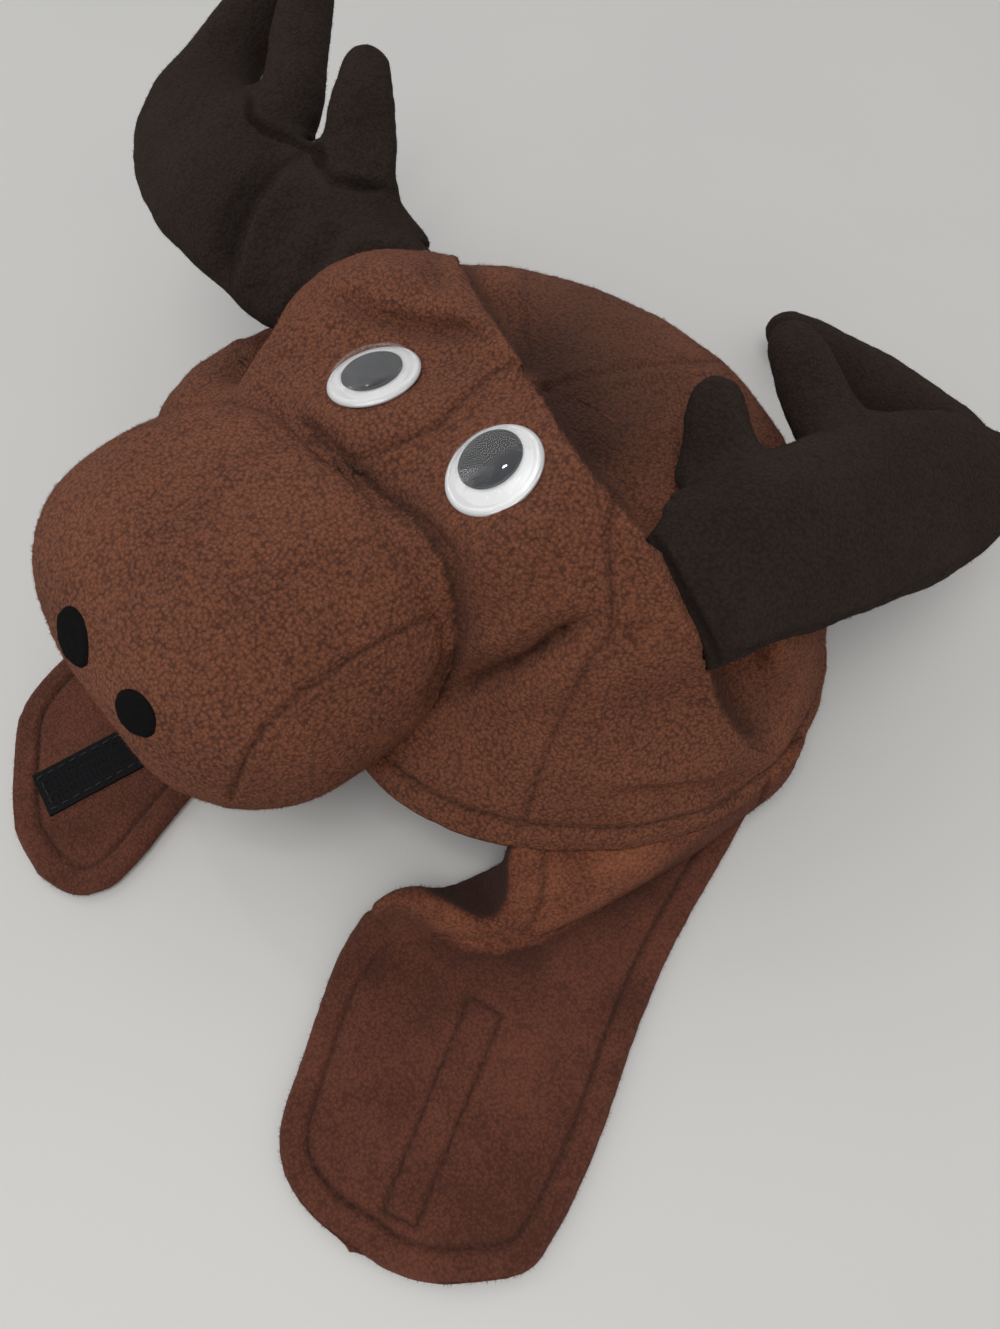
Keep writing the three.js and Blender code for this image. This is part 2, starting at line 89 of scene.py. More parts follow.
def seen(co):
    """Where points land in the picture: an array of x, y and depth."""
    p = np.asarray(co, float) - np.array(EYE_AT)
    depth = p @ np.array(LOOK)
    x = PIC_W / 2 + FOCAL * (p @ np.array(RIGHT)) / depth
    y = PIC_H / 2 - FOCAL * (p @ np.array(UP)) / depth
    return np.stack([x, y, depth], 1)


def sight(x, y):
    """The direction from the camera through a point of the picture."""
    return (LOOK + RIGHT * ((x - PIC_W / 2) / FOCAL) - UP * ((y - PIC_H / 2) / FOCAL)).normalized()


print("camera at", [round(v, 4) for v in EYE_AT], "lens", round(camera.data.lens, 2))

# %% [markdown]
# ## Meshes in and out
# Every soft piece starts as a copy of its CAD mesh. The copy is merged and made denser by a
# subdivision that is then applied. Its points are read and written as arrays, because numpy moves
# a hundred thousand points in one step, where a loop over them would take minutes.

# %% Meshes
scene = bpy.context.scene


def add(name, data):
    obj = bpy.data.objects.new(name, data)
    scene.collection.objects.link(obj)
    return obj


def piece_of(bm, name, smooth=True):
    """A new object from a bmesh, which is freed."""
    mesh = bpy.data.meshes.new(name)
    bm.to_mesh(mesh)
    bm.free()
    for p in mesh.polygons:
        p.use_smooth = smooth
    return add(name, mesh)


def merged_copy(node, quads=True):
    bm = bmesh.new()
    bm.from_mesh(frame["nodes"][node].data)
    bmesh.ops.remove_doubles(bm, verts=bm.verts, dist=3e-5)
    if quads:
        bmesh.ops.join_triangles(bm, faces=bm.faces, angle_face_threshold=1.2,
                                 angle_shape_threshold=1.6)
    return bm


def applied(obj):
    """The object with its modifiers made real."""
    dg = bpy.context.evaluated_depsgraph_get()
    mesh = bpy.data.meshes.new_from_object(obj.evaluated_get(dg))
    old, obj.data = obj.data, mesh
    obj.modifiers.clear()
    bpy.data.meshes.remove(old)
    for p in obj.data.polygons:
        p.use_smooth = True
    return obj


def denser(obj, levels):
    m = obj.modifiers.new("denser", "SUBSURF")
    m.levels = m.render_levels = levels
    return applied(obj)


def taken(items, key, width=1, kind=float):
    """One property of many items as an array."""
    out = np.zeros(len(items) * width, kind)
    items.foreach_get(key, out)
    return out.reshape(-1, width) if width > 1 else out


def points(mesh):
    return taken(mesh.vertices, "co", 3)


def normals(mesh):
    return taken(mesh.vertex_normals, "vector", 3)


def put(mesh, co):
    mesh.vertices.foreach_set("co", np.asarray(co, float).ravel())
    mesh.update()


def ends_of(mesh):
    """The two point numbers of every edge."""
    return taken(mesh.edges, "vertices", 2, int)


def mark(mesh, name, values):
    """One number for each point, which a material can read by its name."""
    layer = mesh.attributes.get(name) or mesh.attributes.new(name, "FLOAT", "POINT")
    layer.data.foreach_set("value", values.astype(np.float32))


def rays(obj):
    """A tree of an object's faces, for rays that look for them."""
    return BVHTree.FromObject(obj, bpy.context.evaluated_depsgraph_get())


print("the crown has", len(points(frame["nodes"]["crown"].data)), "points in the CAD mesh")

# %% [markdown]
# ## Lines in the picture
# Folds and seams are lines read off the picture. Three numbers say how a point of the cloth lies to
# such a line: its distance, its side, and the share of the line that it is next to. A shape that
# fades out towards the ends of its line leaves no step there.

# %% Lines in the picture
def line_distance(xy, line):
    """Distance of each point to a bent line, with the side it is on and the share along the line."""
    xy = xy[:, :2]
    line = np.asarray(line, float)
    step = np.linalg.norm(np.diff(line, axis=0), axis=1)
    total = step.sum()
    best = np.full(len(xy), 1e9)
    side = np.zeros(len(xy))
    along = np.zeros(len(xy))
    start = 0.0
    for a, b, length in zip(line[:-1], line[1:], step):
        ab = b - a
        t = np.clip(((xy - a) @ ab) / (length * length), 0, 1)
        off = xy - (a + t[:, None] * ab)
        d = np.linalg.norm(off, axis=1)
        near = d < best
        best = np.where(near, d, best)
        cross = ab[0] * off[:, 1] - ab[1] * off[:, 0]
        side = np.where(near, np.sign(cross), side)
        along = np.where(near, (start + t * length) / total, along)
        start += length
    return best, side, along


def eased(t):
    """From 0 to 1, level at both ends."""
    return t * t * (3 - 2 * t)


def tapered(t, fade):
    """1 along a line, falling to 0 over a share of it at both ends. A fade of 0 keeps it at 1."""
    return np.clip(np.minimum(t, 1 - t) / fade, 0, 1) if fade else np.ones(len(t))


def turned_to_camera(co, n):
    """How far each normal looks at the camera, from -1 to 1, and the way to the camera."""
    way = np.array(EYE_AT) - co
    way /= np.linalg.norm(way, axis=1)[:, None]
    return (n * way).sum(1), way


beside = line_distance(np.array([[5.0, 2.0]]), [(0, 0), (10, 0)])
print("a point 2 beside a line of 10:", [v[0] for v in beside])

# %% [markdown]
# ## Folds and banks
# Real folds could come from a cloth simulation, but that would put them anywhere. Here they have to
# lie where the picture has them, so they are pressed in: points of the cloth move in along their
# normal the more, the nearer they are to the line. A bank is different: cloth stands high on one
# side of a line and drops on the other. Only cloth that faces the camera moves, so the far side
# stays whole.

# %% Folds and banks
def press(mesh, folds):
    """Presses folds into a mesh. A fold is (depth mm, half width px, lip, fade, line): lip raises both
    shoulders, fade softens the ends. A negative depth raises a ridge."""
    co, n = points(mesh), normals(mesh)
    pic = seen(co)
    turn, _ = turned_to_camera(co, n)
    move = np.zeros(len(co))
    for depth, half, lip, fade, line in folds:
        d, _, t = line_distance(pic, line)
        shoulders = lip * np.exp(-((d - 2.1 * half) / half) ** 2)
        move -= depth * eased(tapered(t, fade)) * (np.exp(-(d / half) ** 2) - shoulders)
    put(mesh, co + n * (move * np.clip((turn - 0.02) / 0.25, 0, 1) * MM)[:, None])


def step(mesh, steps):
    """Makes banks. A step is (rise mm, fall mm at the start, fall at the end, bank px, rise reach px,
    fall reach px, fade, line); it drops on the left of the line's direction as seen in the picture.
    Points move along their line of sight, so the picture keeps its layout."""
    co = points(mesh)
    pic = seen(co)
    turn, way = turned_to_camera(co, normals(mesh))
    move = np.zeros(len(co))
    for rise, fall_a, fall_b, bank, reach_up, reach_down, fade, line in steps:
        d, side, t = line_distance(pic, line)
        fall = fall_a + (fall_b - fall_a) * t
        high = rise * np.exp(-(d / reach_up) ** 2)
        share = np.exp(-(d / bank) ** 2)
        low = rise * share - fall * (1 - share) * np.exp(-(d / reach_down) ** 2)
        move += eased(tapered(t, fade)) * np.where(side < 0, low, high)
    put(mesh, co + way * (move * np.clip((turn + 0.1) / 0.3, 0, 1) * MM)[:, None])


def swell(mesh, lumps):
    """Soft lumps and hollows: (height mm, x, y, radius x px, radius y px, turn in degrees)."""
    co, n = points(mesh), normals(mesh)
    pic = seen(co)
    turn, _ = turned_to_camera(co, n)
    move = np.zeros(len(co))
    for height, x, y, rx, ry, degrees in lumps:
        a = math.radians(degrees)
        u = ((pic[:, 0] - x) * math.cos(a) + (pic[:, 1] - y) * math.sin(a)) / rx
        v = (-(pic[:, 0] - x) * math.sin(a) + (pic[:, 1] - y) * math.cos(a)) / ry
        move += height * np.exp(-(u * u + v * v))
    put(mesh, co + n * (move * np.clip((turn + 0.05) / 0.3, 0, 1) * MM)[:, None])


print("how a fold fades along its line:", tapered(np.linspace(0, 1, 6), 0.3).round(2))

# %% [markdown]
# ## Cloth that is cut back
# Behind the brow the cap falls into a valley under the crest, deeper than a fold. The valley is made
# by a ceiling: what stands higher goes down along its line of sight, and the cloth round it relaxes
# as a slack cloth does. Last the foot is drawn under the edge, so that the edge overhangs it.

# %% Cutting back
def relaxed(co, ends, mine, weight):
    """One turn of smoothing for the points in mine: each goes part of the way to the mean of its
    neighbours. ends holds the two point numbers of every edge."""
    total = np.zeros(co.shape)
    count = np.bincount(ends[:, 0], minlength=len(co)) + np.bincount(ends[:, 1], minlength=len(co))
    for c in range(3):
        total[:, c] = (np.bincount(ends[:, 0], co[ends[:, 1], c], len(co))
                       + np.bincount(ends[:, 1], co[ends[:, 0], c], len(co)))
    co[mine] += (total[mine] / count[mine][:, None] - co[mine]) * weight[mine][:, None]
    return co


def height_along(rows, t):
    """The third value of rows of (x, y, value), read at a share t along their line."""
    rows = np.array(rows, float)
    along = np.concatenate([[0], np.cumsum(np.linalg.norm(np.diff(rows[:, :2], axis=0), axis=1))])
    return np.interp(t * along[-1], along, rows[:, 2])


def dropped(co, fall):
    """Points that go down by so much, each along its line of sight."""
    way = np.array(EYE_AT) - co
    return co - way / way[:, 2:3] * fall[:, None]


def cut_back(mesh, rows, bank, reach, turns, lowest, undercut):
    """Sinks the cloth on the left of a line to a ceiling and lets it relax under it. A row is (x, y,
    ceiling mm); the bank is the width in pixels over which the ridge falls to the ceiling. Points
    lower than the lowest stay. Last, the foot is drawn under the edge by undercut pixels."""
    soft_edge, soft_line, under_reach, look_again = 35, 4, 22, 10
    co, ends = points(mesh), ends_of(mesh)
    line = np.array(rows, float)[:, :2]
    first = co[:, 2].copy()
    mine = None
    for turn in range(turns):
        if turn % look_again == 0:
            d, side, t = line_distance(seen(co), line)
            fade = eased(np.clip(np.minimum(t / 0.05, (1 - t) / 0.1), 0, 1))
            inside = (side < 0) & (d < reach) & (co[:, 2] > lowest * MM)
            if mine is None:
                mine = np.flatnonzero(inside & (fade > 0))
                ends = ends[np.isin(ends, mine).any(1)]
            share = np.exp(-(d / bank) ** 2)
            ceiling = first * share + height_along(rows, t) * MM * (1 - share)
            far = eased(np.clip((reach - d) / soft_edge, 0, 1))
            ceiling = first + np.where(inside, np.minimum(0, ceiling - first), 0) * fade * far
            weight = 0.6 * fade * np.clip(d / soft_line, 0, 1) * np.clip((reach - d) / 20, 0, 1) * inside
        co[mine] = dropped(co[mine], np.maximum(0, co[mine, 2] - ceiling[mine]))
        co = relaxed(co, ends, mine, weight)
    pic = seen(co)
    d, side, t = line_distance(pic, line)
    under = undercut * np.exp(-(d / under_reach) ** 2) * tapered(t, 0.1) * (side < 0)
    under = under * (co[:, 2] > lowest * MM) * pic[:, 2] / FOCAL
    way = (line[-1] - line[0]) / np.linalg.norm(line[-1] - line[0])
    put(mesh, co - np.outer(under * way[1], RIGHT) - np.outer(under * way[0], UP))


print("halfway along a falling edge:", height_along([(0, 0, 10), (5, 0, 6), (10, 0, 0)], 0.5), "mm")

# %% [markdown]
# ## Uneven cloth
# No cloth is as even as a CAD surface. A sum of waves in random ways moves each point in or out a
# little: wide and low waves for the wadding, fine ones for the fleece. The waves have fixed seeds,
# so every run gives the same hat. Here is also what every finished piece gets: its material, the
# body that it rides on, and the CAD nodes that it stands for.

# %% Crumple and finish
WAVES = 14


def noise3(co, scale, seed):
    """A smooth random value for each point, from -1 to 1."""
    rng = np.random.default_rng(seed)
    out = np.zeros(len(co))
    for k in range(WAVES):
        d = rng.normal(size=3)
        d *= (0.6 + 0.8 * rng.random()) / np.linalg.norm(d)
        out += np.sin(co @ d * scale + rng.random() * 6.28)
    return out / 5.0


def crumple(mesh, height, size, seed):
    """Uneven cloth: the surface moves in and out a little, over lumps of the given size in mm."""
    w = noise3(points(mesh), 2 * math.pi / (size * MM), seed) * height * MM
    put(mesh, points(mesh) + normals(mesh) * w[:, None])


def finish_piece(obj, material, slot, *nodes):
    obj.data.materials.clear()
    obj.data.materials.append(material)
    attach(obj, "root")
    if nodes:
        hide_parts(*nodes)
    print(obj.name, len(obj.data.polygons), "faces")
    return obj


sample = noise3(np.array([[k * 0.001, 0, 0] for k in range(100)]), 400.0, 1)
print("waves from", round(sample.min(), 2), "to", round(sample.max(), 2))

# %% [markdown]
# ## Fleece
# Brushed fleece is knitted, then its loops are raised and curl into small nubs, about 1.1 mm apart.
# Light catches the nub tops and dies between them. One shader group makes that for every fleece
# here: a cell pattern bent by noise gives the nubs, and the shade between them is painted into the
# colour as well as bumped; fine noise gives the fibres, and wide noise gives the brushed patches
# where the nap lies another way. It reads Object coordinates, so it needs no UV map, and every
# piece sits at the origin, so nothing slides.

# %% Small tools for nodes
def node_group(name, inputs, outputs):
    group = bpy.data.node_groups.new(name, "ShaderNodeTree")
    for label, kind, value in inputs:
        s = group.interface.new_socket(name=label, in_out="INPUT", socket_type=kind)
        s.default_value = value
    for label, kind in outputs:
        group.interface.new_socket(name=label, in_out="OUTPUT", socket_type=kind)
    return group, group.nodes.new("NodeGroupInput"), group.nodes.new("NodeGroupOutput")


def wire(tree, kind, settings=None, **links):
    """A node with its settings, and its inputs linked or set."""
    node = tree.nodes.new(kind)
    for key, value in (settings or {}).items():
        setattr(node, key, value)
    for key, value in links.items():
        key = key.replace("_", " ") if key.replace("_", " ") in node.inputs else key
        socket = node.inputs[int(key[1:])] if key[0] == "i" and key[1:].isdigit() else node.inputs[key]
        if isinstance(value, bpy.types.NodeSocket):
            tree.links.new(value, socket)
        else:
            socket.default_value = value
    return node


def maths(tree, operation, a, b=0.0, c=0.0, clamp=False):
    node = wire(tree, "ShaderNodeMath", {"operation": operation, "use_clamp": clamp}, i0=a, i1=b, i2=c)
    return node.outputs[0]


def ramp(tree, value, low, high, to_low=0.0, to_high=1.0):
    node = wire(tree, "ShaderNodeMapRange", {"clamp": True}, Value=value)
    for key, v in (("From Min", low), ("From Max", high), ("To Min", to_low), ("To Max", to_high)):
        node.inputs[key].default_value = v
    return node.outputs[0]


def mixed(tree, share, a, b, blend="MIX"):
    node = tree.nodes.new("ShaderNodeMix")
    node.data_type, node.blend_type = "RGBA", blend
    for socket, value in ((node.inputs[0], share), (node.inputs[6], a), (node.inputs[7], b)):
        if isinstance(value, bpy.types.NodeSocket):
            tree.links.new(value, socket)
        else:
            socket.default_value = value
    return node.outputs[2]


def noise(tree, place, scale, detail, fine=0.5):
    """The outputs of a noise. Its scale is a number or a socket."""
    node = wire(tree, "ShaderNodeTexNoise", Vector=place, Scale=scale, Detail=detail, Roughness=fine)
    return node.outputs


def object_place(tree):
    return wire(tree, "ShaderNodeTexCoord").outputs["Object"]


print("node groups so far:", len(bpy.data.node_groups))

# %% The nap group
nap, given, shown = node_group(
    "fleece_nap",
    [("Top", "NodeSocketColor", (0.2, 0.08, 0.04, 1)), ("Deep", "NodeSocketColor", (0.08, 0.03, 0.015, 1)),
     ("Nubs per metre", "NodeSocketFloat", 560.0), ("Curl", "NodeSocketFloat", 0.8),
     ("Patches", "NodeSocketFloat", 0.5)],
    [("Colour", "NodeSocketColor"), ("Height", "NodeSocketFloat"), ("Roughness", "NodeSocketFloat")])
times = lambda a, b: maths(nap, "MULTIPLY", a, b)
plus = lambda a, b: maths(nap, "ADD", a, b)
vectors = lambda how, **links: wire(nap, "ShaderNodeVectorMath", {"operation": how}, **links).outputs[0]
where, pitch = object_place(nap), given.outputs["Nubs per metre"]
off = vectors("SUBTRACT", i0=noise(nap, where, times(pitch, 0.45), 1.0, 0.6)["Color"], i1=(0.5, 0.5, 0.5))
bent = vectors("ADD", i0=where, i1=vectors("SCALE", i0=off, Scale=0.0009))
cells = wire(nap, "ShaderNodeTexVoronoi", {"feature": "SMOOTH_F1"}, Vector=bent, Scale=pitch,
             Smoothness=0.25, Randomness=0.85).outputs["Distance"]
nub = maths(nap, "POWER", ramp(nap, cells, 0.0, 0.75, 1.0, 0.0), 0.8)
loops = ramp(nap, noise(nap, bent, times(pitch, 2.3), 3.0, 0.6)["Fac"], 0.3, 0.7)
fibre = noise(nap, where, times(pitch, 7.0), 2.0, 0.7)["Fac"]
height = plus(times(plus(times(nub, 0.85), times(loops, 0.42)), given.outputs["Curl"]), times(fibre, 0.3))
wide = noise(nap, where, 38.0, 3.0, 0.62)["Fac"]
patch = times(ramp(nap, wide, 0.3, 0.7, -0.5, 0.5), given.outputs["Patches"])
# painted shade between the nubs: the colour runs from Deep in the gaps to Top on the nub tops
tone = maths(nap, "ADD", ramp(nap, height, 0.25, 1.2), patch, clamp=True)
nap.links.new(mixed(nap, tone, given.outputs["Deep"], given.outputs["Top"]), shown.inputs["Colour"])
nap.links.new(height, shown.inputs["Height"])
nap.links.new(ramp(nap, height, 0.2, 1.0, 1.0, 0.85), shown.inputs["Roughness"])
print("nap group has", len(nap.nodes), "nodes")

# %% [markdown]
# ## Three fleeces
# The outside of the hat, the smoother face of the flaps and the antlers are three fleeces of one
# kind, so one function makes them from a row of numbers. Two attributes of the mesh steer it: one
# darkens the cloth along seams and paints shade into folds, hollows and overhung places, and
# "outside" turns a smooth fleece into the nubby one.

# %% Fleece materials
def colour(hex_code):
    """The linear colour of an sRGB code."""
    c = [int(hex_code[i:i + 2], 16) / 255 for i in (0, 2, 4)]
    return tuple(v / 12.92 if v < 0.04045 else ((v + 0.055) / 1.055) ** 2.4 for v in c) + (1,)


def plain(name, base, roughness=0.6, **sockets):
    mat = bpy.data.materials.new(name)
    mat.use_nodes = True
    tree = mat.node_tree
    bsdf = tree.nodes["Principled BSDF"]
    bsdf.inputs["Base Color"].default_value = base
    bsdf.inputs["Roughness"].default_value = roughness
    for key, value in sockets.items():
        bsdf.inputs[key.replace("_", " ")].default_value = value
    return mat, tree, bsdf


OUTSIDE = ("a46344", "5a2f20")       # nub tops and between the nubs


def fleece(name, top, deep, nubs, curl_by, patches, relief, sheen, specular):
    mat, tree, bsdf = plain(name, top, 0.95, Sheen_Weight=sheen, Sheen_Roughness=0.45,
                            Specular_IOR_Level=specular)
    bsdf.inputs["Sheen Tint"].default_value = (0.75, 0.5, 0.4, 1)
    g = tree.nodes.new("ShaderNodeGroup")
    g.node_tree = nap
    # where "outside" is 1, a smooth fleece shows the nubby outside of the hat
    face_side = wire(tree, "ShaderNodeAttribute", {"attribute_name": "outside"}).outputs["Fac"]
    for key, own, other in (("Top", top, OUTSIDE[0]), ("Deep", deep, OUTSIDE[1])):
        tree.links.new(mixed(tree, face_side, own, colour(other)), g.inputs[key])
    g.inputs["Nubs per metre"].default_value = nubs
    g.inputs["Curl"].default_value, g.inputs["Patches"].default_value = curl_by, patches
    # darker along seams, and painted shade in folds, hollows and under overhangs, both from one attribute
    seam_and_painted_shade_share = wire(tree, "ShaderNodeAttribute", {"attribute_name": "seam_and_painted_shade"}).outputs["Fac"]
    dark = tuple(v * 0.35 for v in deep[:3]) + (1,)
    tree.links.new(mixed(tree, seam_and_painted_shade_share, g.outputs["Colour"], dark), bsdf.inputs["Base Color"])
    bump = wire(tree, "ShaderNodeBump", Strength=relief, Distance=0.0014, Height=g.outputs["Height"])
    tree.links.new(bump.outputs[0], bsdf.inputs["Normal"])
    tree.links.new(g.outputs["Roughness"], bsdf.inputs["Roughness"])
    return mat


FLEECES = {
    # name: (nub tops, between nubs, nubs per metre, curl, patches, relief, sheen, specular)
    "fleece": (*OUTSIDE, 930.0, 1.0, 0.25, 1.0, 0.08, 0.1),
    "fleece_smooth": ("7f4835", "512c20", 1000.0, 0.7, 0.6, 0.7, 0.08, 0.1),
    "antler_fleece": ("3b312d", "27201d", 900.0, 0.7, 0.4, 0.8, 0.04, 0.03),
}
mats = {name: fleece(name, colour(top), colour(deep), *rest)
        for name, (top, deep, *rest) in FLEECES.items()}
print("fleece materials:", list(mats))

# %% [markdown]
# ## The table and the light
# The hat lies on a plain pale table under wide, soft light from above, so shadows are faint and
# only gather under the muzzle, the flap and the folds. A wide lamp overhead, a weaker one from the
# side and a pale world do that. Plain colours are kept with the Standard view.

# %% Table and light
def grained(name, tones, roughness, scale, detail=2.0, span=(0.3, 0.7), fine=0.5, relief=None, **sockets):
    """A material whose colour wanders between two tones in a noise, so that no face is one flat colour."""
    mat, tree, bsdf = plain(name, (*tones[0], 1), roughness, **sockets)
    speck = noise(tree, object_place(tree), scale, detail, fine)["Fac"]
    tone = mixed(tree, ramp(tree, speck, *span), (*tones[0], 1), (*tones[1], 1))
    tree.links.new(tone, bsdf.inputs["Base Color"])
    if relief:
        bump = wire(tree, "ShaderNodeBump", Strength=relief[0], Distance=relief[1], Height=speck)
        tree.links.new(bump.outputs[0], bsdf.inputs["Normal"])
    return mat


bm = bmesh.new()
bmesh.ops.create_grid(bm, x_segments=1, y_segments=1, size=3.0)
floor = piece_of(bm, "floor", False)
tones = (0.60, 0.598, 0.585), (0.585, 0.585, 0.575)
floor.data.materials.append(grained("table", tones, 0.55, 9.0, Specular_IOR_Level=0.25))

LAMPS = [
    # name, place, aims at, size, power, colour
    ("overhead", (0.5, -0.8, 2.4), (0.02, 0.0, 0.05), 1.5, 21.0, (1.0, 0.985, 0.96)),
    ("side", (-1.2, -0.7, 0.9), (0.0, 0.0, 0.05), 1.0, 2.5, (0.96, 0.98, 1.0)),
]
for name, place, aim, size, power, tint in LAMPS:
    lamp = bpy.data.lights.new(name, "AREA")
    lamp.energy, lamp.size, lamp.color = power, size, tint
    obj = add(name, lamp)
    obj.location = place
    obj.rotation_mode = "QUATERNION"
    obj.rotation_quaternion = (Vector(aim) - Vector(place)).to_track_quat("-Z", "Y")
world = bpy.data.worlds.new("world")
scene.world = world
world.use_nodes = True
world.node_tree.nodes["Background"].inputs[0].default_value = (0.98, 0.97, 0.965, 1)
world.node_tree.nodes["Background"].inputs[1].default_value = 0.62
scene.view_settings.view_transform = "Standard"
scene.view_settings.look = "None"
print("lamps:", [row[0] for row in LAMPS])

# %% [markdown]
# ## The cap
# The cap is two layers sewn together: fleece outside, a thin lining inside. The CAD shell already
# has both walls, so a merged copy is cut into its outer wall, its inner wall and the rim between
# them. The outer wall gets three subdivisions, because folds and seams go there, the lining two.
# They are joined again with a bridge between the rims, so the cap stays one closed piece.

# %% Split the cap's walls
def islands(bm, sharp):
    """Groups of faces joined by edges less sharp than the angle."""
    left, groups = set(bm.faces), []
    while left:
        todo, group = [left.pop()], []
        while todo:
            face = todo.pop()
            group.append(face)
            for e in face.edges:
                if len(e.link_faces) == 2 and e.calc_face_angle(0) < sharp:
                    for other in e.link_faces:
                        if other in left:
                            left.discard(other)
                            todo.append(other)
        groups.append(group)
    return sorted(groups, key=len, reverse=True)


def only(bm, keep):
    keep = set(keep)
    bmesh.ops.delete(bm, geom=[f for f in bm.faces if f not in keep], context="FACES")
    return bm


LOOKS_DOWN, RIM_FACE, RIM_TOP = -0.92, 0.00007, 0.036      # which faces are the rim between the walls
walls = []
for levels, wall in ((3, "outer"), (2, "inner")):
    bm = merged_copy("crown")
    bm.normal_update()
    edge = [f for f in bm.faces if f.normal.z < LOOKS_DOWN and f.calc_area() < RIM_FACE
            and min(v.co.z for v in f.verts) < RIM_TOP]
    bmesh.ops.delete(bm, geom=edge, context="FACES")
    found = islands(bm, 9.0)
    found.sort(key=lambda g: -max(v.co.z for f in g for v in f.verts))
    print(wall, "islands", [len(g) for g in found], "rim faces", len(edge))
    only(bm, found[0] if wall == "outer" else found[1])
    walls.append(denser(piece_of(bm, "crown_" + wall), levels))
outer, inner = walls

# %% [markdown]
# ## The forms of the cap
# The forms of the face come in three steps, from large to small. Lumps round the cheek and the brow,
# and hollows sink the valley behind the brow. Folds follow, each a line where it is seen. Seams are
# the finest: a seam pulls the cloth in along a thin line, and the line itself is darker, because
# the nap is caught there.

# %% Lines of the cap
RIDGE = [
    # x, y in the picture and the height in mm that the valley beside it may reach
    (446, 236, 104), (462, 268, 98), (487, 310, 98), (519, 358, 99), (545, 402, 98), (566, 438, 97),
    (592, 474, 95), (618, 503, 94), (642, 530, 95), (656, 556, 96),
]
POCKET = [(704, 648, 66), (711, 672, 60), (718, 700, 52), (733, 727, 44), (756, 746, 36), (776, 756, 31)]
CREST = [row[:2] for row in RIDGE[:8]]
BROW = [(296, 288), (347, 300), (377, 317), (410, 327), (470, 331), (503, 342)]
BROW_END = [(421, 250), (434, 280), (440, 300)]
DIP = [(706, 655), (711, 676), (718, 700), (735, 728), (764, 750)]
GROOVE = [(424, 702), (452, 694), (490, 680), (523, 663), (553, 643), (582, 626), (610, 614)]
JOINT = [(302, 404), (300, 417), (323, 450), (350, 470), (383, 497), (417, 523), (440, 557), (452, 597),
         (455, 630), (451, 662), (436, 696), (420, 716)]        # where the muzzle meets the cap
print("the crest runs from", CREST[0], "to", CREST[-1])

# %% Forms, folds and seams of the cap
CAP_LUMPS = [
    # height mm, x, y, radius x px, radius y px, turn
    (3.0, 535, 560, 70, 55, 0),
    (-4.0, 775, 706, 42, 30, -25),
    (2.5, 200, 385, 34, 26, -45),
    (2.0, 590, 735, 55, 45, 0),
]
CAP_STEPS = [
    # rise, fall at the start, fall at the end, bank px, rise reach px, fall reach px, fade, line
    (2.5, 2.0, 2.0, 5, 24, 30, 0.12, CREST + [(642, 530), (662, 560)]),
    (2.0, 7.0, 4.0, 4, 16, 26, 0.3, [(226, 402), (238, 368), (256, 332), (282, 303), (300, 290)]),
    (3.5, 0.0, 0.0, 6, 20, 20, 0.15, [(640, 528), (656, 562), (676, 600), (694, 632), (709, 665),
                                      (714, 680)]),
    (2.5, 1.0, 1.0, 6, 20, 30, 0.18, [row[:2] for row in POCKET]),
]
CAP_FOLDS = [
    # depth mm, half width px, lip, fade, line in the picture
    (2.8, 9, 0.3, 0.25, BROW),
    (2.8, 11, 0.3, 0.4, BROW_END),
    (5.0, 8, 0.3, 0.25, [(286, 300), (274, 328), (250, 357), (230, 390)]),
    (4.0, 16, 0.3, 0.3, [(424, 700), (452, 692), (490, 678), (523, 661), (553, 641), (582, 624),
                         (612, 610)]),
    (2.6, 5, 0.2, 0.3, [(420, 704), (452, 696), (490, 682), (523, 665), (553, 645), (582, 628),
                        (607, 616)]),
    (1.6, 9, 0.2, 0.4, [(614, 640), (640, 628), (655, 618)]),
    (2.4, 10, 0.3, 0.3, [(775, 768), (730, 783), (690, 792), (640, 795), (590, 797)]),
    (-1.6, 10, 0.0, 0.3, [(763, 768), (730, 771), (680, 775), (630, 780), (585, 786)]),
]
CAP_SEAMS = [
    # depth mm, half width px, lip, fade, line in the picture
    (0.8, 4.5, 0.35, 0.0, [(515, 364), (493, 373), (460, 403), (437, 427), (403, 443), (380, 453),
                           (352, 462)]),
    (0.7, 4.5, 0.4, 0.0, [(527, 262), (523, 297), (522, 337), (528, 363), (538, 392)]),
    (0.8, 4.5, 0.4, 0.0, [(752, 360), (700, 362), (660, 364), (617, 370), (577, 380), (543, 391)]),
    (0.8, 4.5, 0.4, 0.0, [(614, 500), (609, 530), (610, 563), (612, 607), (611, 637), (597, 648), (577, 687),
                          (557, 727), (540, 770), (530, 803), (521, 828)]),
]
before = points(outer.data)
swell(outer.data, CAP_LUMPS)
cut_back(outer.data, RIDGE, 5, 115, 160, 70.0, 15.0)
cut_back(outer.data, POCKET, 5, 80, 60, 22.0, 8.0)
step(outer.data, CAP_STEPS)
press(outer.data, CAP_FOLDS)
press(outer.data, CAP_SEAMS)
press(outer.data, [(2.5, 13, 0.0, 0.1, JOINT), (1.5, 7, 0.0, 0.1, JOINT)])
far = np.linalg.norm(points(outer.data) - before, axis=1).max()
print("the outer wall moved by up to", round(far / MM, 1), "mm")

# %% [markdown]
# ## Lining and hem
# The lining is sewn to the fleece all round, so it follows each form: a point of it takes the mean
# move of the nearest points outside. The brim is turned up and stitched, which leaves a groove at
# an even distance from the rim and a soft roll below it.

# %% Lining and hem
def tree_of(marks):
    """A search tree over points."""
    kd = KDTree(len(marks))
    for i, p in enumerate(marks):
        kd.insert(p, i)
    kd.balance()
    return kd


def nearest(co, marks):
    """Distance from each point to the nearest of some marks, in metres."""
    kd = tree_of(marks)
    return np.array([kd.find(p)[2] for p in co])


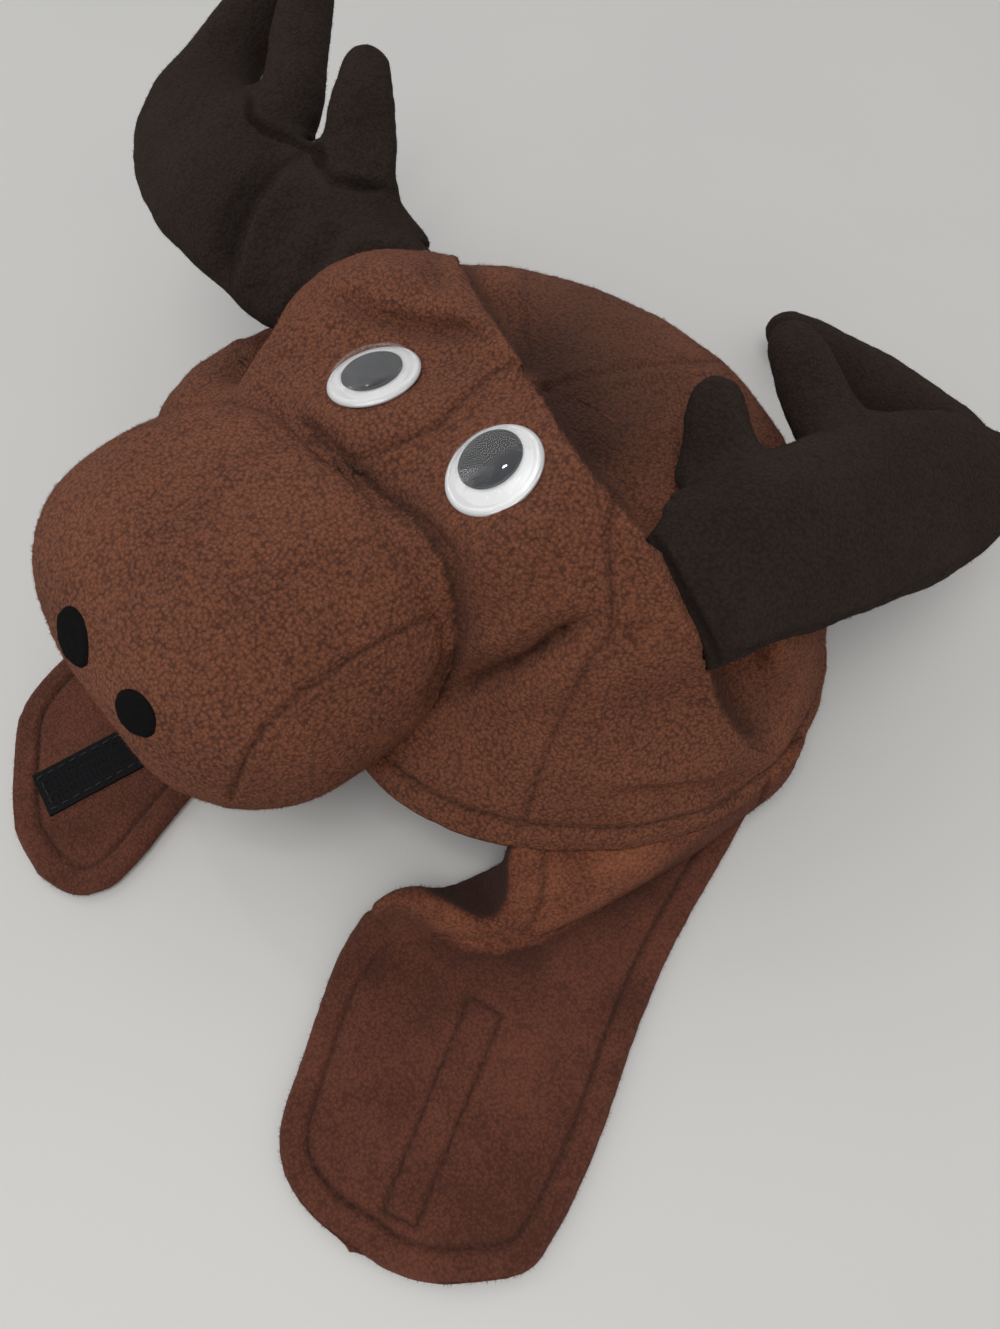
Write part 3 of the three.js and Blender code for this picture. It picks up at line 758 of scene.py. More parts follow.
def rim_points(mesh):
    """The points on open edges: those of an edge with one face."""
    count = np.bincount(taken(mesh.loops, "edge_index", 1, int), minlength=len(mesh.edges))
    return np.unique(ends_of(mesh)[count == 1])


def carried(mesh, before, after, share=None, near=12):
    """Moves a mesh as its neighbour moved: each point takes the mean move of the nearest points."""
    kd = tree_of(before)
    moved = after - before
    co = points(mesh)
    share = np.ones(len(co)) if share is None else share
    put(mesh, [p + w * moved[[hit[1] for hit in kd.find_n(p, near)]].mean(0) if w > 0 else p
               for p, w in zip(co, share)])


HEM = 9.0       # mm from the rim to the hem's stitching
carried(inner.data, before, points(outer.data))
rim = rim_points(outer.data)
co = points(outer.data)
to_rim = nearest(co, co[rim])
middle = co[rim].mean(0)
rim_round = sorted(co[rim].tolist(), key=lambda p: math.atan2(p[1] - middle[1], p[0] - middle[0]))
on_hem = np.flatnonzero(abs(to_rim / MM - HEM) < 0.6)
stitched_in = np.exp(-((to_rim / MM - HEM) / 1.3) ** 2)
roll = np.exp(-((to_rim / MM - 0.55 * HEM) / 3.2) ** 2) * 0.9
put(outer.data, co - normals(outer.data) * ((stitched_in - roll) * MM)[:, None])
crumple(outer.data, 0.35, 17.0, 3)
crumple(outer.data, 0.16, 4.5, 4)
print("hem points:", len(on_hem), "of", len(co))

# %% [markdown]
# ## Seams and painted shade
# Where cloth is caught in a seam, its nap is darker. Where it lies deep in a fold, under the crest or
# beside the muzzle, shade is painted into its colour. A number on each point tells the material
# how dark to make it. It is worked out from the same lines that pressed the folds.

# %% Join the walls, mark the seams and paint the shade
# painted shade of the cap: the valley behind the crest, the dip under the left antler, the groove, the
# muzzle's joint and the brow are darkened in colour
CAP_SHADES = [
    # share, half width px, side (-1 left of the line's direction), fade, line
    (0.7, 14, -1, 0.12, CREST + [(640, 528)]),
    (0.85, 120, -1, 0.3, [(470, 285)] + CREST[3:] + [(640, 528)]),
    (0.72, 30, -1, 0.2, DIP),
    (0.45, 60, -1, 0.2, DIP),
    (0.6, 13, -1, 0.3, GROOVE),
    (0.8, 9, -1, 0.08, JOINT),
    (0.4, 24, -1, 0.2, JOINT),
    (0.28, 9, 1, 0.3, BROW),
    (0.3, 9, -1, 0.3, BROW_END),
    (0.35, 12, -1, 0.3, [(230, 398), (240, 368), (257, 332), (282, 303), (300, 290)]),
]


def mark_seams_and_painted_shade(mesh, lines, half, share, extra=None, shades=()):
    """Marks seams as darker lines, with a half width in pixels. Extra holds marks that are there already. A
    shade
    is (share, half width px, side, fade, line): painted shade, dark on one side of a line."""
    pic = seen(points(mesh))
    facing = turned_to_camera(points(mesh), normals(mesh))[0] > 0
    value = np.zeros(len(mesh.vertices))
    for line in lines:
        d, _, _ = line_distance(pic, line)
        value = np.maximum(value, np.exp(-(d / half) ** 2) * facing * share)
    for most, wide, where, fade, line in shades:
        d, side, t = line_distance(pic, line)
        dark = most * tapered(t, fade) * np.exp(-(d / wide) ** 2)
        value = np.maximum(value, dark * (side == where) * facing)
    if extra is not None:
        value = np.maximum(value, extra)
    mark(mesh, "seam_and_painted_shade", value)


hem_places, hem_ways = points(outer.data)[on_hem], normals(outer.data)[on_hem]
lining_from = len(outer.data.polygons)
lining_to = lining_from + len(inner.data.polygons)
outer_before, outer_after = before, points(outer.data)
bm = bmesh.new()
bm.from_mesh(outer.data)
bm.from_mesh(inner.data)
bridge = bmesh.ops.bridge_loops(bm, edges=[e for e in bm.edges if e.is_boundary])
bmesh.ops.triangulate(bm, faces=[f for f in bridge["faces"] if len(f.verts) > 4])
cap = piece_of(bm, "cap")
for part in (outer, inner):
    bpy.data.objects.remove(part)
co = points(cap.data)
hem_mark = 0.55 * np.exp(-((nearest(co, co[rim]) / MM - HEM) / 0.9) ** 2)
mark_seams_and_painted_shade(cap.data, [row[4] for row in CAP_SEAMS], 2.4, 0.5, hem_mark, CAP_SHADES)
finish_piece(cap, mats["fleece"], "fleece", "crown")
cap.data.materials.append(mats["fleece_smooth"])
for p in cap.data.polygons[lining_from:lining_to]:
    p.material_index = 1

# %% [markdown]
# ## Muzzle and antlers: stuffed pieces
# These are skins filled with wadding. A copy of the CAD solid is remeshed to even squares and
# smoothed, which loses a little size. Blender's Cloth then blows it up from inside, as wadding does,
# with the points at the cap held still, and a limit in millimetres on how far a point may move. The
# end that is sewn to the cap is sunk into the cap's wall first, so no gap can show there.

# %% Stuffing
cap_wall = merged_copy("crown", False)
CAP_TREE = BVHTree.FromBMesh(cap_wall)
cap_wall.free()


def voxels(obj, size):
    m = obj.modifiers.new("even", "REMESH")
    m.mode, m.voxel_size = "VOXEL", size * MM
    return applied(obj)


def smoothed(obj, turns):
    bm = bmesh.new()
    bm.from_mesh(obj.data)
    for _ in range(turns):
        bmesh.ops.smooth_vert(bm, verts=bm.verts, factor=0.5, use_axis_x=True, use_axis_y=True,
                              use_axis_z=True)
    bm.to_mesh(obj.data)
    bm.free()
    return obj


def sewn_end(co, reach):
    """1 where a point is next to the cap, 0 beyond the reach in mm."""
    d = np.array([CAP_TREE.find_nearest(Vector(p))[3] for p in co]) / MM
    return np.clip(1 - d / reach, 0, 1)


PRESSURE, MOST, FRAMES = 4.0, 3.0, 20        # of the wadding, the farthest move in mm, and the run
HELD_REACH, HELD_FROM = 5.0, 0.3             # points this near to the cap, in mm, are held still


def blown_up(obj):
    keep = points(obj.data)
    hold = obj.vertex_groups.new(name="hold")
    held = [i for i, w in enumerate(sewn_end(keep, HELD_REACH)) if w > HELD_FROM]
    hold.add(held, 1.0, "REPLACE")
    cloth = obj.modifiers.new("wadding", "CLOTH")
    for key, value in (("quality", 6), ("mass", 0.2), ("use_pressure", True),
                       ("uniform_pressure_force", PRESSURE), ("vertex_group_mass", "hold"),
                       ("pin_stiffness", 1.0)):
        setattr(cloth.settings, key, value)
    cloth.settings.effector_weights.gravity = 0
    cloth.collision_settings.use_collision = False
    cloth.point_cache.frame_start, cloth.point_cache.frame_end = 1, FRAMES
    for f in range(1, FRAMES + 1):
        scene.frame_set(f)
    dg = bpy.context.evaluated_depsgraph_get()
    moved = points(obj.evaluated_get(dg).to_mesh()) - keep
    obj.modifiers.clear()
    scene.frame_set(1)
    far = np.linalg.norm(moved, axis=1)
    moved *= np.minimum(1, MOST * MM / np.maximum(far, 1e-9))[:, None]
    put(obj.data, keep + moved)
    print(obj.name, "moved by up to", round(min(far.max(), MOST * MM) * 1000, 1), "mm, mean",
          round(far.mean() * 1000, 2))


TOUCHES, SUNK, FOLLOWS = 0.8, 2.6, 16.0       # mm: what is next to the cap, how deep it goes in, and how
                                              # far from the cap a piece still moves with it


def stuffed(node, name, size, follow=True):
    """The CAD solid as a stuffed skin, of squares of the given size in mm before they are divided."""
    bm = merged_copy(node, False)
    for v in bm.verts:
        _, normal, _, d = CAP_TREE.find_nearest(v.co)
        if d < TOUCHES * MM:
            v.co -= normal * SUNK * MM
    obj = smoothed(voxels(piece_of(bm, name), size), 3)
    blown_up(obj)
    if follow:
        carried(obj.data, outer_before, outer_after, sewn_end(points(obj.data), FOLLOWS))
    obj.vertex_groups.clear()
    return denser(obj, 2)


print("the cap's wall has", len(outer_after), "points")

# %% [markdown]
# ## The muzzle
# The real muzzle is a bag of fleece with one curved seam, and wadding pushes it out further than the
# CAD solid has it on one side. A warp of its picture corrects that: some places are told where to
# go, and the rest follows smoothly. Scaling the whole piece would have spoiled the other side.

# %% Muzzle
def warped(mesh, pairs, radius):
    """Bends the picture of a piece, so that each given place goes where its pair says."""
    at = np.array([row[:2] for row in pairs], float)
    to = np.array([row[2:] for row in pairs], float)
    spread = lambda p: np.exp(-((p[:, None, :] - at[None]) ** 2).sum(2) / radius ** 2)
    weights = np.linalg.solve(spread(at) + 0.02 * np.eye(len(at)), to - at)
    co = points(mesh)
    pic = seen(co)
    move = spread(pic[:, :2]) @ weights * (pic[:, 2] / FOCAL)[:, None]
    put(mesh, co + np.outer(move[:, 0], RIGHT) - np.outer(move[:, 1], UP))


MUZZLE_WARP = [
    # x, y in the picture and where that place of the muzzle goes
    (318, 455, 318, 446), (340, 487, 350, 470), (358, 510, 374, 487), (383, 545, 412, 524),
    (403, 590, 438, 564), (416, 615, 451, 603), (423, 650, 452, 640), (421, 680, 442, 676),
    (400, 728, 409, 726), (373, 767, 373, 764), (250, 560, 250, 560), (230, 650, 230, 650),
    (310, 740, 310, 740), (240, 460, 240, 460), (340, 620, 346, 617),
]
MUZZLE_SEAM = [(453, 612), (417, 623), (388, 637), (348, 660), (300, 695), (264, 728), (246, 758),
               (231, 797)]
muzzle = stuffed("muzzle", "muzzle_skin", 3.6)
warped(muzzle.data, MUZZLE_WARP, 62)
press(muzzle.data, [(1.0, 4, 0.5, 0.0, MUZZLE_SEAM), (2.5, 8, 0.0, 0.1, JOINT)])
crumple(muzzle.data, 0.45, 26.0, 11)
crumple(muzzle.data, 0.15, 4.5, 12)
# the seam is darker, and shade is painted along the muzzle's edge at its joint with the cap
mark_seams_and_painted_shade(muzzle.data, [MUZZLE_SEAM], 1.8, 0.65, None, [(0.6, 6, 1, 0.08, JOINT)])
finish_piece(muzzle, mats["fleece"], "fleece", "muzzle")

# %% [markdown]
# ## The antlers
# Each antler is a stuffed palm with three prongs. The wearer's right one bends over and creases at
# its foot and between the prongs. The left one lies behind the cap's edge, so its foot is tucked
# down there, as cloth that is sewn into a seam. Both are warped a little to the picture first.

# %% Antlers
RIGHT_FOLDS = [
    # depth mm, half width px, lip, fade, line in the picture
    (3.4, 4, 0.3, 0.2, [(249, 98), (252, 116), (267, 130), (290, 138), (318, 151), (326, 172)]),
    (2.2, 5, 0.3, 0.3, [(322, 164), (334, 179), (363, 187), (394, 189)]),
    (2.0, 11, 0.2, 0.4, [(352, 215), (338, 235), (318, 262), (300, 280)]),
    (3.2, 13, 0.0, 0.3, [(226, 306), (224, 280), (226, 254), (233, 226), (247, 195), (270, 167),
                         (298, 150)]),
    (2.4, 4, 0.0, 0.3, [(235, 306), (231, 283), (232, 256), (239, 228), (253, 197), (276, 169),
                        (300, 153)]),
]
RIGHT_STEPS = [
    # rise, fall at the start, fall at the end, bank px, rise reach px, fall reach px, fade, line
    (4.0, 3.0, 3.0, 5, 26, 26, 0.25, [(244, 312), (235, 288), (236, 257), (243, 229), (257, 199),
                                      (280, 171), (303, 153)]),
]
LEFT_FOLDS = [
    (0.9, 3, 0.4, 0.15, [(652, 532), (668, 560), (688, 597), (706, 629), (720, 660)]),
    (1.6, 6, 0.4, 0.1, [(714, 659), (748, 656), (786, 642), (829, 630), (878, 608), (925, 588), (975, 556)]),
]
LEFT_WARP = [
    # x, y in the picture and where that place goes
    (707, 488, 686, 482), (700, 512, 668, 499), (679, 531, 650, 514), (668, 547, 641, 531),
    (668, 572, 655, 562), (684, 604, 676, 602), (707, 657, 711, 667), (685, 425, 685, 425),
    (688, 458, 684, 456), (700, 380, 700, 380), (745, 400, 745, 400), (755, 440, 755, 440),
    (735, 480, 727, 476), (790, 450, 790, 450), (760, 540, 758, 540), (800, 590, 800, 590),
    (780, 650, 780, 650),
]
RIGHT_WARP = [
    # the same for the right antler, whose foot spreads over the cap
    (394, 158, 394, 158), (403, 178, 396, 179), (409, 195, 400, 196), (413, 213, 409, 216),
    (413, 222, 423, 231), (403, 233, 428, 249), (407, 242, 434, 258), (380, 178, 380, 178),
    (375, 212, 375, 212), (362, 238, 364, 239), (388, 252, 400, 262),
]
BEHIND = [
    # x, y in the picture and the height in mm of the cap's edge there
    (600, 462, 119), (622, 500, 118), (640, 528, 116), (656, 562, 110), (676, 600, 101), (694, 632, 94),
    (709, 665, 85), (718, 688, 78), (734, 728, 66),
]
RELAX_TURNS = 30


def tucked(mesh, rows, rise, sink):
    """Tucks the sewn end behind the cap's edge: from the line on it may rise so much a pixel, and what
    is left of the line sinks under the cap."""
    co = points(mesh)
    d, side, t = line_distance(seen(co), [row[:2] for row in rows])
    ceiling = (height_along(rows, t) + np.where(side > 0, -sink * d, rise * d)) * MM
    fade = tapered(t, 0.08) * np.clip((75 - d) / 25, 0, 1)
    co = dropped(co, np.maximum(0, co[:, 2] - ceiling) * fade)
    weight, ends, everywhere = 0.5 * np.clip((60 - d) / 30, 0, 1), ends_of(mesh), np.arange(len(co))
    for _ in range(RELAX_TURNS):
        co = relaxed(co, ends, everywhere, weight)
    put(mesh, co)


for node, name, folds in (("antler_right", "antler_skin_right", RIGHT_FOLDS),
                          ("antler_left", "antler_skin_left", LEFT_FOLDS)):
    antler = stuffed(node, name, 3.2, node == "antler_right")
    if node == "antler_left":
        warped(antler.data, LEFT_WARP, 42)
        tucked(antler.data, BEHIND, 0.26, 0.7)
    else:
        step(antler.data, RIGHT_STEPS)
        warped(antler.data, RIGHT_WARP, 24)
    press(antler.data, folds)
    crumple(antler.data, 0.6, 30.0, 21)
    crumple(antler.data, 0.12, 4.5, 22)
    # the narrowest folds are darkened as lines: painted shade in the creases, and a dark line at the left
    # antler's sewn foot
    mark_seams_and_painted_shade(antler.data, [row[4] for row in folds if row[1] <= 5], 4.0, 0.55)
    finish_piece(antler, mats["antler_fleece"], "antler_fleece", node)

# %% [markdown]
# ## Ear flaps
# A flap is two layers of fleece sewn right sides together, turned, and topstitched all round. It
# lies partly on the table and partly folds up to the rim. It starts as a flat grid. Rows of a short
# table say where its two edges run, from the rim (0) to the tip (1), and how far the middle bows
# up. Each point of the grid then moves out along the surface's normal by half the thickness, which
# falls to nothing at the edge, is fullest in the hem and dips at the stitching.

# %% Flaps
FLAP_LEFT = [
    # share along, then x, y, z of six points across, from the turned-in edge over the fold to edge B; or
    # x, y, z of edge A, x, y, z of edge B and the bow of the middle
    (0.0, 72.5, -81.5, 28, 74.3, -82.8, 30, 78.0, -78.0, 29.5,
     88.0, -65.1, 27, 99.1, -33.3, 20, 105.9, 9.6, 15),
    (0.06, 74.4, -87.3, 20, 77.5, -88.5, 25, 81.0, -83.6, 25,
     91.1, -68.7, 25, 102.2, -37.0, 21, 108.3, 4.8, 16),
    (0.11, 72.3, -88.1, 13, 81.2, -90.8, 19, 84.3, -86.3, 19.5,
     93.4, -72.9, 21, 104.1, -39.4, 19, 109.8, -0.4, 16),
    (0.16, 70.3, -90.7, 8, 83.9, -95.8, 11, 86.8, -91.6, 12,
     95.6, -79.2, 15, 106.3, -42.7, 16, 110.6, -6.3, 14),
    (0.2, 68.1, -94.5, 5, 84.3, -101.7, 7, 87.4, -97.6, 6.5,
     96.6, -85.3, 9, 106.7, -47.4, 11.5, 109.6, -11.5, 11),
    (0.235, 66.8, -98.2, 4, 81.0, -105.0, 8, 85.2, -103.6, 4.5,
     93.3, -92.5, 4, 104.5, -48.9, 6, 108.2, -12.2, 7),
    (0.27, 65.9, -102.6, 4, 76.2, -107.7, 11, 81.4, -108.4, 4.6,
     90.2, -96.0, 4, 102.2, -48.8, 4, 107.0, -11.5, 4.5),
    (0.32, 65.7, -107.6, 7, 69.4, -110.0, 14, 75.8, -112.4, 4.6,
     84.0, -103.0, 3.8, 104.3, -55.8, 3.5, 109.8, -20.0, 3.5),
    (0.37, 62.9, -112.0, 10, 63.0, -114.5, 18, 69.2, -118.0, 5.0,
     79.0, -111.5, 3.8, 106.6, -66.0, 3.5, 113.6, -32.3, 3),
    (0.43, 58.9, -118.6, 8, 58.2, -121.3, 14, 64.2, -124.0, 4.5,
     76.0, -120.0, 4.5, 107.9, -77.5, 3.5, 116.7, -46.1, 2.8),
    (0.49, 57.5, -128.5, 4, 58.4, -131.2, 6.5, 64.0, -132.0, 4.0,
     78.5, -129.6, 3.6, 109.4, -88.8, 3.2, 120.1, -58.8, 2.6),
    (0.56, 60.4, -143.0, 3.0, 63.5, -143.5, 4.2, 69.0, -142.5, 4.0,
     83.5, -137.5, 3.8, 113.4, -99.5, 3.2, 124.5, -73.0, 2.6),
    (0.63, 66.5, -153.0, 2.6, 70.0, -152.4, 3.4, 75.0, -150.8, 3.8,
     88.0, -144.5, 4.0, 116.8, -108.8, 3.4, 130.0, -87.0, 2.6),
    (0.7, 72.0, -161.8, 2.6, 76.0, -159.6, 3.2, 81.0, -156.5, 3.6,
     92.5, -149.5, 4.0, 119.2, -118.0, 3.6, 135.6, -99.5, 2.6),
    (0.77, 77.5, -170.5, 2.5, 140.8, -110.0, 2.5, 2.0),
    (0.83, 82.0, -177.7, 2.5, 145.6, -121.0, 2.5, 1.8),
    (0.88, 87.5, -182.8, 2.5, 149.8, -132.5, 2.5, 1.5),
    (0.92, 94.0, -185.9, 2.5, 152.7, -143.0, 2.5, 1.2),
    (0.955, 102.0, -186.9, 2.5, 153.9, -152.0, 2.5, 0.9),
    (0.98, 112.0, -185.4, 2.5, 150.0, -160.0, 2.5, 0.6),
    (1.0, 121.8, -181.7, 2.5, 123.8, -181.4, 2.6, 125.5, -181.0, 2.7,
     127.8, -180.3, 2.8, 134.6, -176.7, 2.8, 141.0, -171.5, 2.5),
]
ACROSS = (0.0, 0.08, 0.15, 0.27, 0.62, 1.0)
FLAP_RIGHT = [
    # share along, edge A x, y, z, edge B x, y, z, bow of the middle
    (0.00, -108, -18, 13, -70, -86, 29, 2),
    (0.14, -113, -44, 8, -58, -100, 15, 4),
    (0.28, -104, -72, 4, -40, -104, 6, 3),
    (0.42, -98, -98, 2.8, -24, -112, 2.8, 2),
    (0.56, -91, -122, 2.6, -17, -127, 2.6, 1),
    (0.70, -84, -144, 2.5, -12.8, -143.5, 2.5, 0.3),
    (0.82, -80.5, -159, 2.5, -8.5, -158, 2.5, 0.4),
    (0.91, -73, -171.5, 2.5, -4.8, -171.5, 2.5, 0.4),
    (0.97, -60, -180.6, 2.5, -4.6, -181.5, 2.5, 0.3),
    (0.99, -47.5, -188.0, 2.5, -10, -190.0, 2.5, 0.2),
    (1.00, -36.0, -192.8, 2.5, -22, -193.8, 2.5, 0.1),
]
print("rows of the flaps:", len(FLAP_LEFT), len(FLAP_RIGHT))

# %% Surface through the rows
def between(w, h, a, b, slope_a, slope_b):
    """The smooth curve from a to b at a share w of the step h, with these slopes at its ends."""
    return ((2 * w ** 3 - 3 * w ** 2 + 1) * a + (w ** 3 - 2 * w ** 2 + w) * h * slope_a
            + (3 * w ** 2 - 2 * w ** 3) * b + (w ** 3 - w ** 2) * h * slope_b)


def look(rows, c, x):
    """Smooth value of column c at x, between the rows of a table."""
    rows = np.asarray(rows, float)
    t, y = rows[:, 0], rows[:, c]
    slope = np.gradient(y, t)
    slope[1:-1] = (y[2:] - y[:-2]) / (t[2:] - t[:-2])
    k = np.clip(np.searchsorted(t, x, side="right") - 1, 0, len(t) - 2)
    h = t[k + 1] - t[k]
    return between((x - t[k]) / h, h, y[k], y[k + 1], slope[k], slope[k + 1])


def points_across(row):
    """A row's share along and its six points, worked out from its two edges where only they are given."""
    if len(row) == 1 + 3 * len(ACROSS):
        return list(row)
    a, b, bow = np.array(row[1:4]), np.array(row[4:7]), row[7]
    out = [row[0]]
    for u in ACROSS:
        out += list(a * (1 - u) + b * u + np.array((0, 0, bow * math.sin(math.pi * u))))
    return out


def flap_mid(rows, u, v):
    """Points of the middle surface, in the frame, in metres. u and v are arrays."""
    rows = [points_across(row) for row in rows]
    columns = [np.stack([look(rows, 1 + 3 * k + c, v) for c in range(3)], -1) for k in range(len(ACROSS))]
    p = np.zeros(u.shape + (3,))
    for k in range(len(ACROSS) - 1):
        a, b, h = columns[k], columns[k + 1], ACROSS[k + 1] - ACROSS[k]
        before = (b - columns[k - 1]) / (ACROSS[k + 1] - ACROSS[k - 1]) if k else (b - a) / h
        after = (b - a) / h
        if k + 2 < len(ACROSS):
            after = (columns[k + 2] - a) / (ACROSS[k + 2] - ACROSS[k])
        w = np.clip((u - ACROSS[k]) / h, 0, 1)[..., None]
        inside = ((u >= ACROSS[k]) & ((u < ACROSS[k + 1]) | (k == len(ACROSS) - 2)))[..., None]
        p = np.where(inside, between(w, h, a, b, before, after), p)
    share = (0.5 * np.clip((0.9 - v[:, 1:-1]) / 0.12, 0.04, 1))[..., None]
    for _ in range(70):         # the rows are read off one by one, so waves between them are smoothed out
        p[:, 1:-1] += share * (0.5 * (p[:, 2:] + p[:, :-2]) - p[:, 1:-1])
    return (p + np.array(SHIFT)) * MM


half_way = np.full((1, 3), 0.5)
print("middle of the left flap:", flap_mid(FLAP_LEFT, half_way, half_way)[0, 1].round(4))

# %% [markdown]
# ## Two layers and a hem
# The surface alone has no thickness. The two layers are a grid above it and one below, joined at
# the edge. Their distance is one number for each point: full in the hem, low at the stitching and
# nothing at the edge. A solidify modifier couldn't give the hem its round edge.

# %% A flap of two layers
HALF, HEM_HALF, EDGE_ROUND, FLAP_HEM = 1.75, 2.25, 2.4, 8.0     # mm: half thickness, in the hem; widths
FOLD_ENDS = 0.20        # share along down to which the hem runs beside the fold
GRID = (96, 190)        # squares across and along
THREADS = []            # each is a list of (place, normal) along a seam that is stitched through


def run_of(guide, places, ways, most):
    """The places within most mm of a guide line, in its order, as a run of (place, normal)."""
    kd = tree_of(places)
    run, last = [], -1
    for p in guide:
        _, i, d = kd.find(p)
        if i != last and d < most * MM:
            run.append((Vector(places[i]), Vector(ways[i])))
            last = i
    return run


def rounded(d):
    """The share of the full thickness at a distance in mm from the edge."""
    return np.sqrt(np.clip(1 - (1 - np.clip(d / EDGE_ROUND, 0, 1)) ** 2, 0, 1))


def nearest_value(co, marks, values):
    kd = tree_of(marks)
    return np.array([values[kd.find(p)[1]] for p in co])


def flap_piece(name, rows, shape=None, folded=False):
    """A closed flap: two grids over the same middle surface, joined at the edge. Shape gives more height
    on top and more shade, folded leaves the hem out where the cloth turns in. Returns the area too."""
    across, along = GRID
    tighten = lambda s: 0.55 * s + 0.45 * (0.5 - 0.5 * np.cos(np.pi * s))
    us = tighten(np.linspace(0, 1, across + 1))
    vs = tighten(np.linspace(0, 1, along + 1))
    U, W = np.meshgrid(us, vs, indexing="ij")
    mid = flap_mid(rows, U, W)
    du = np.gradient(mid, axis=0)
    dv = np.gradient(mid, axis=1)
    n = np.cross(du, dv)
    n /= np.maximum(np.linalg.norm(n, axis=2), 1e-12)[..., None]
    if n[across // 2, -3, 2] < 0:
        n = -n
    border = np.concatenate([mid[0], mid[-1], mid[:, -1]])
    flat = mid.reshape(-1, 3)
    d = nearest(flat, border).reshape(U.shape) / MM
    to_hem, plain_lip = d, np.ones(U.shape)
    if folded:
        fold, last = int(np.argmin(abs(us - ACROSS[1]))), int(np.argmin(abs(vs - FOLD_ENDS)))
        hem_of = np.concatenate([mid[fold, :last], mid[0, int(along * 0.5):], mid[-1], mid[:, -1]])
        to_hem = nearest(flat, hem_of).reshape(U.shape) / MM
        lip = np.clip(np.minimum((W - FOLD_ENDS) / 0.05, (0.47 - W) / 0.05), 0, 1) * (U < 0.4)
        plain_lip = (1 - lip) * np.clip((U - ACROSS[1] * (W < 0.3)) / 0.01, 0, 1)
    half = HALF + (HEM_HALF - HALF) * np.clip((FLAP_HEM + 1.5 - d) / 3, 0, 1)
    root = nearest(flat, mid[:, 0]).reshape(U.shape) / MM
    half = half * rounded(d) * rounded(root)
    half -= np.exp(-((to_hem - FLAP_HEM) / 0.9) ** 2) * np.clip(root / 3, 0, 1) * plain_lip
    shade = 0.55 * np.exp(-((to_hem - FLAP_HEM) / 0.7) ** 2) * plain_lip
    if folded:
        # painted shade: the turned-in cloth in the tunnel under the roll is darkened almost to black
        tunnel_painted_shade = np.clip((ACROSS[1] - U) / 0.012, 0, 1) * np.clip((0.38 - W) / 0.05, 0, 1)
        shade = np.maximum(shade, 0.97 * tunnel_painted_shade)
    up = 0
    if shape is not None:
        up, more_shade = shape(mid)
        shade = np.maximum(shade, more_shade)
    top = mid + n * ((half + up) * MM)[..., None]
    low = mid - n * (half * MM)[..., None]
    bm = bmesh.new()
    for side in (top, low):
        made = bmesh.ops.create_grid(bm, x_segments=across, y_segments=along, size=0.5)
        for vert in made["verts"]:
            i = round((vert.co.x + 0.5) * across)
            j = round((vert.co.y + 0.5) * along)
            vert.co = side[i, j]
            vert.co.z = max(vert.co.z, 0.0001)
    bmesh.ops.remove_doubles(bm, verts=[v for v in bm.verts if v.is_boundary], dist=1e-6)
    bmesh.ops.recalc_face_normals(bm, faces=bm.faces)
    obj = piece_of(bm, name)
    mark(obj.data, "seam_and_painted_shade", nearest_value(points(obj.data), flat, shade.ravel()))
    beside_lip = (W > FOLD_ENDS - 0.02) & (W < 0.53) & (U < 0.4)
    on_hem = (abs(to_hem - FLAP_HEM) < 0.5) & (plain_lip > 0.9) & (root > 4) & ~(folded & beside_lip)
    way_round = np.concatenate([mid[0, :-1], mid[:, -1], mid[-1, ::-1][1:]])
    THREADS.append(run_of(way_round, top[on_hem], n[on_hem], 12.0))
    area = np.linalg.norm(np.cross(du, dv), axis=2).sum()
    print(name, "open edges:", len(rim_points(obj.data)), "area cm2", round(area * 1e4, 1))
    return obj, area


print("a flap's grid:", GRID)

# %% [markdown]
# ## Both flaps
# The left flap carries a stitched rectangle, because its half of the fastener is sewn on behind. Its
# near edge rolls over and shows the nubby outside of the hat, so an attribute blends that fleece in
# above the edge of the roll. Shade is painted on the cloth under the roll, where the fold overhangs it.

# %% Both flaps
TAPE_BOX = [(93.2, -120), (103.5, -116.7), (127, -167.7), (118.8, -171.8), (93.2, -120)]


def tape_mark(mid):
    """The stitched rectangle over the hidden strip: a groove along it, and a low pad inside."""
    xy = mid.reshape(-1, 3)[:, :2] / MM - np.array(SHIFT)[:2]
    low = mid.reshape(-1, 3)[:, 2] < 0.008
    d, _, _ = line_distance(xy, TAPE_BOX)
    inside = np.ones(len(xy))
    for p, q in zip(TAPE_BOX[:-1], TAPE_BOX[1:]):
        ex, ey = q[0] - p[0], q[1] - p[1]
        cross = ex * (xy[:, 1] - p[1]) - ey * (xy[:, 0] - p[0])
        inside *= cross < 0
    more = (0.45 * inside - 0.8 * np.exp(-(d / 0.9) ** 2)) * low
    shade = 0.55 * np.exp(-(d / 0.7) ** 2) * low
    return more.reshape(mid.shape[:2]), shade.reshape(mid.shape[:2])


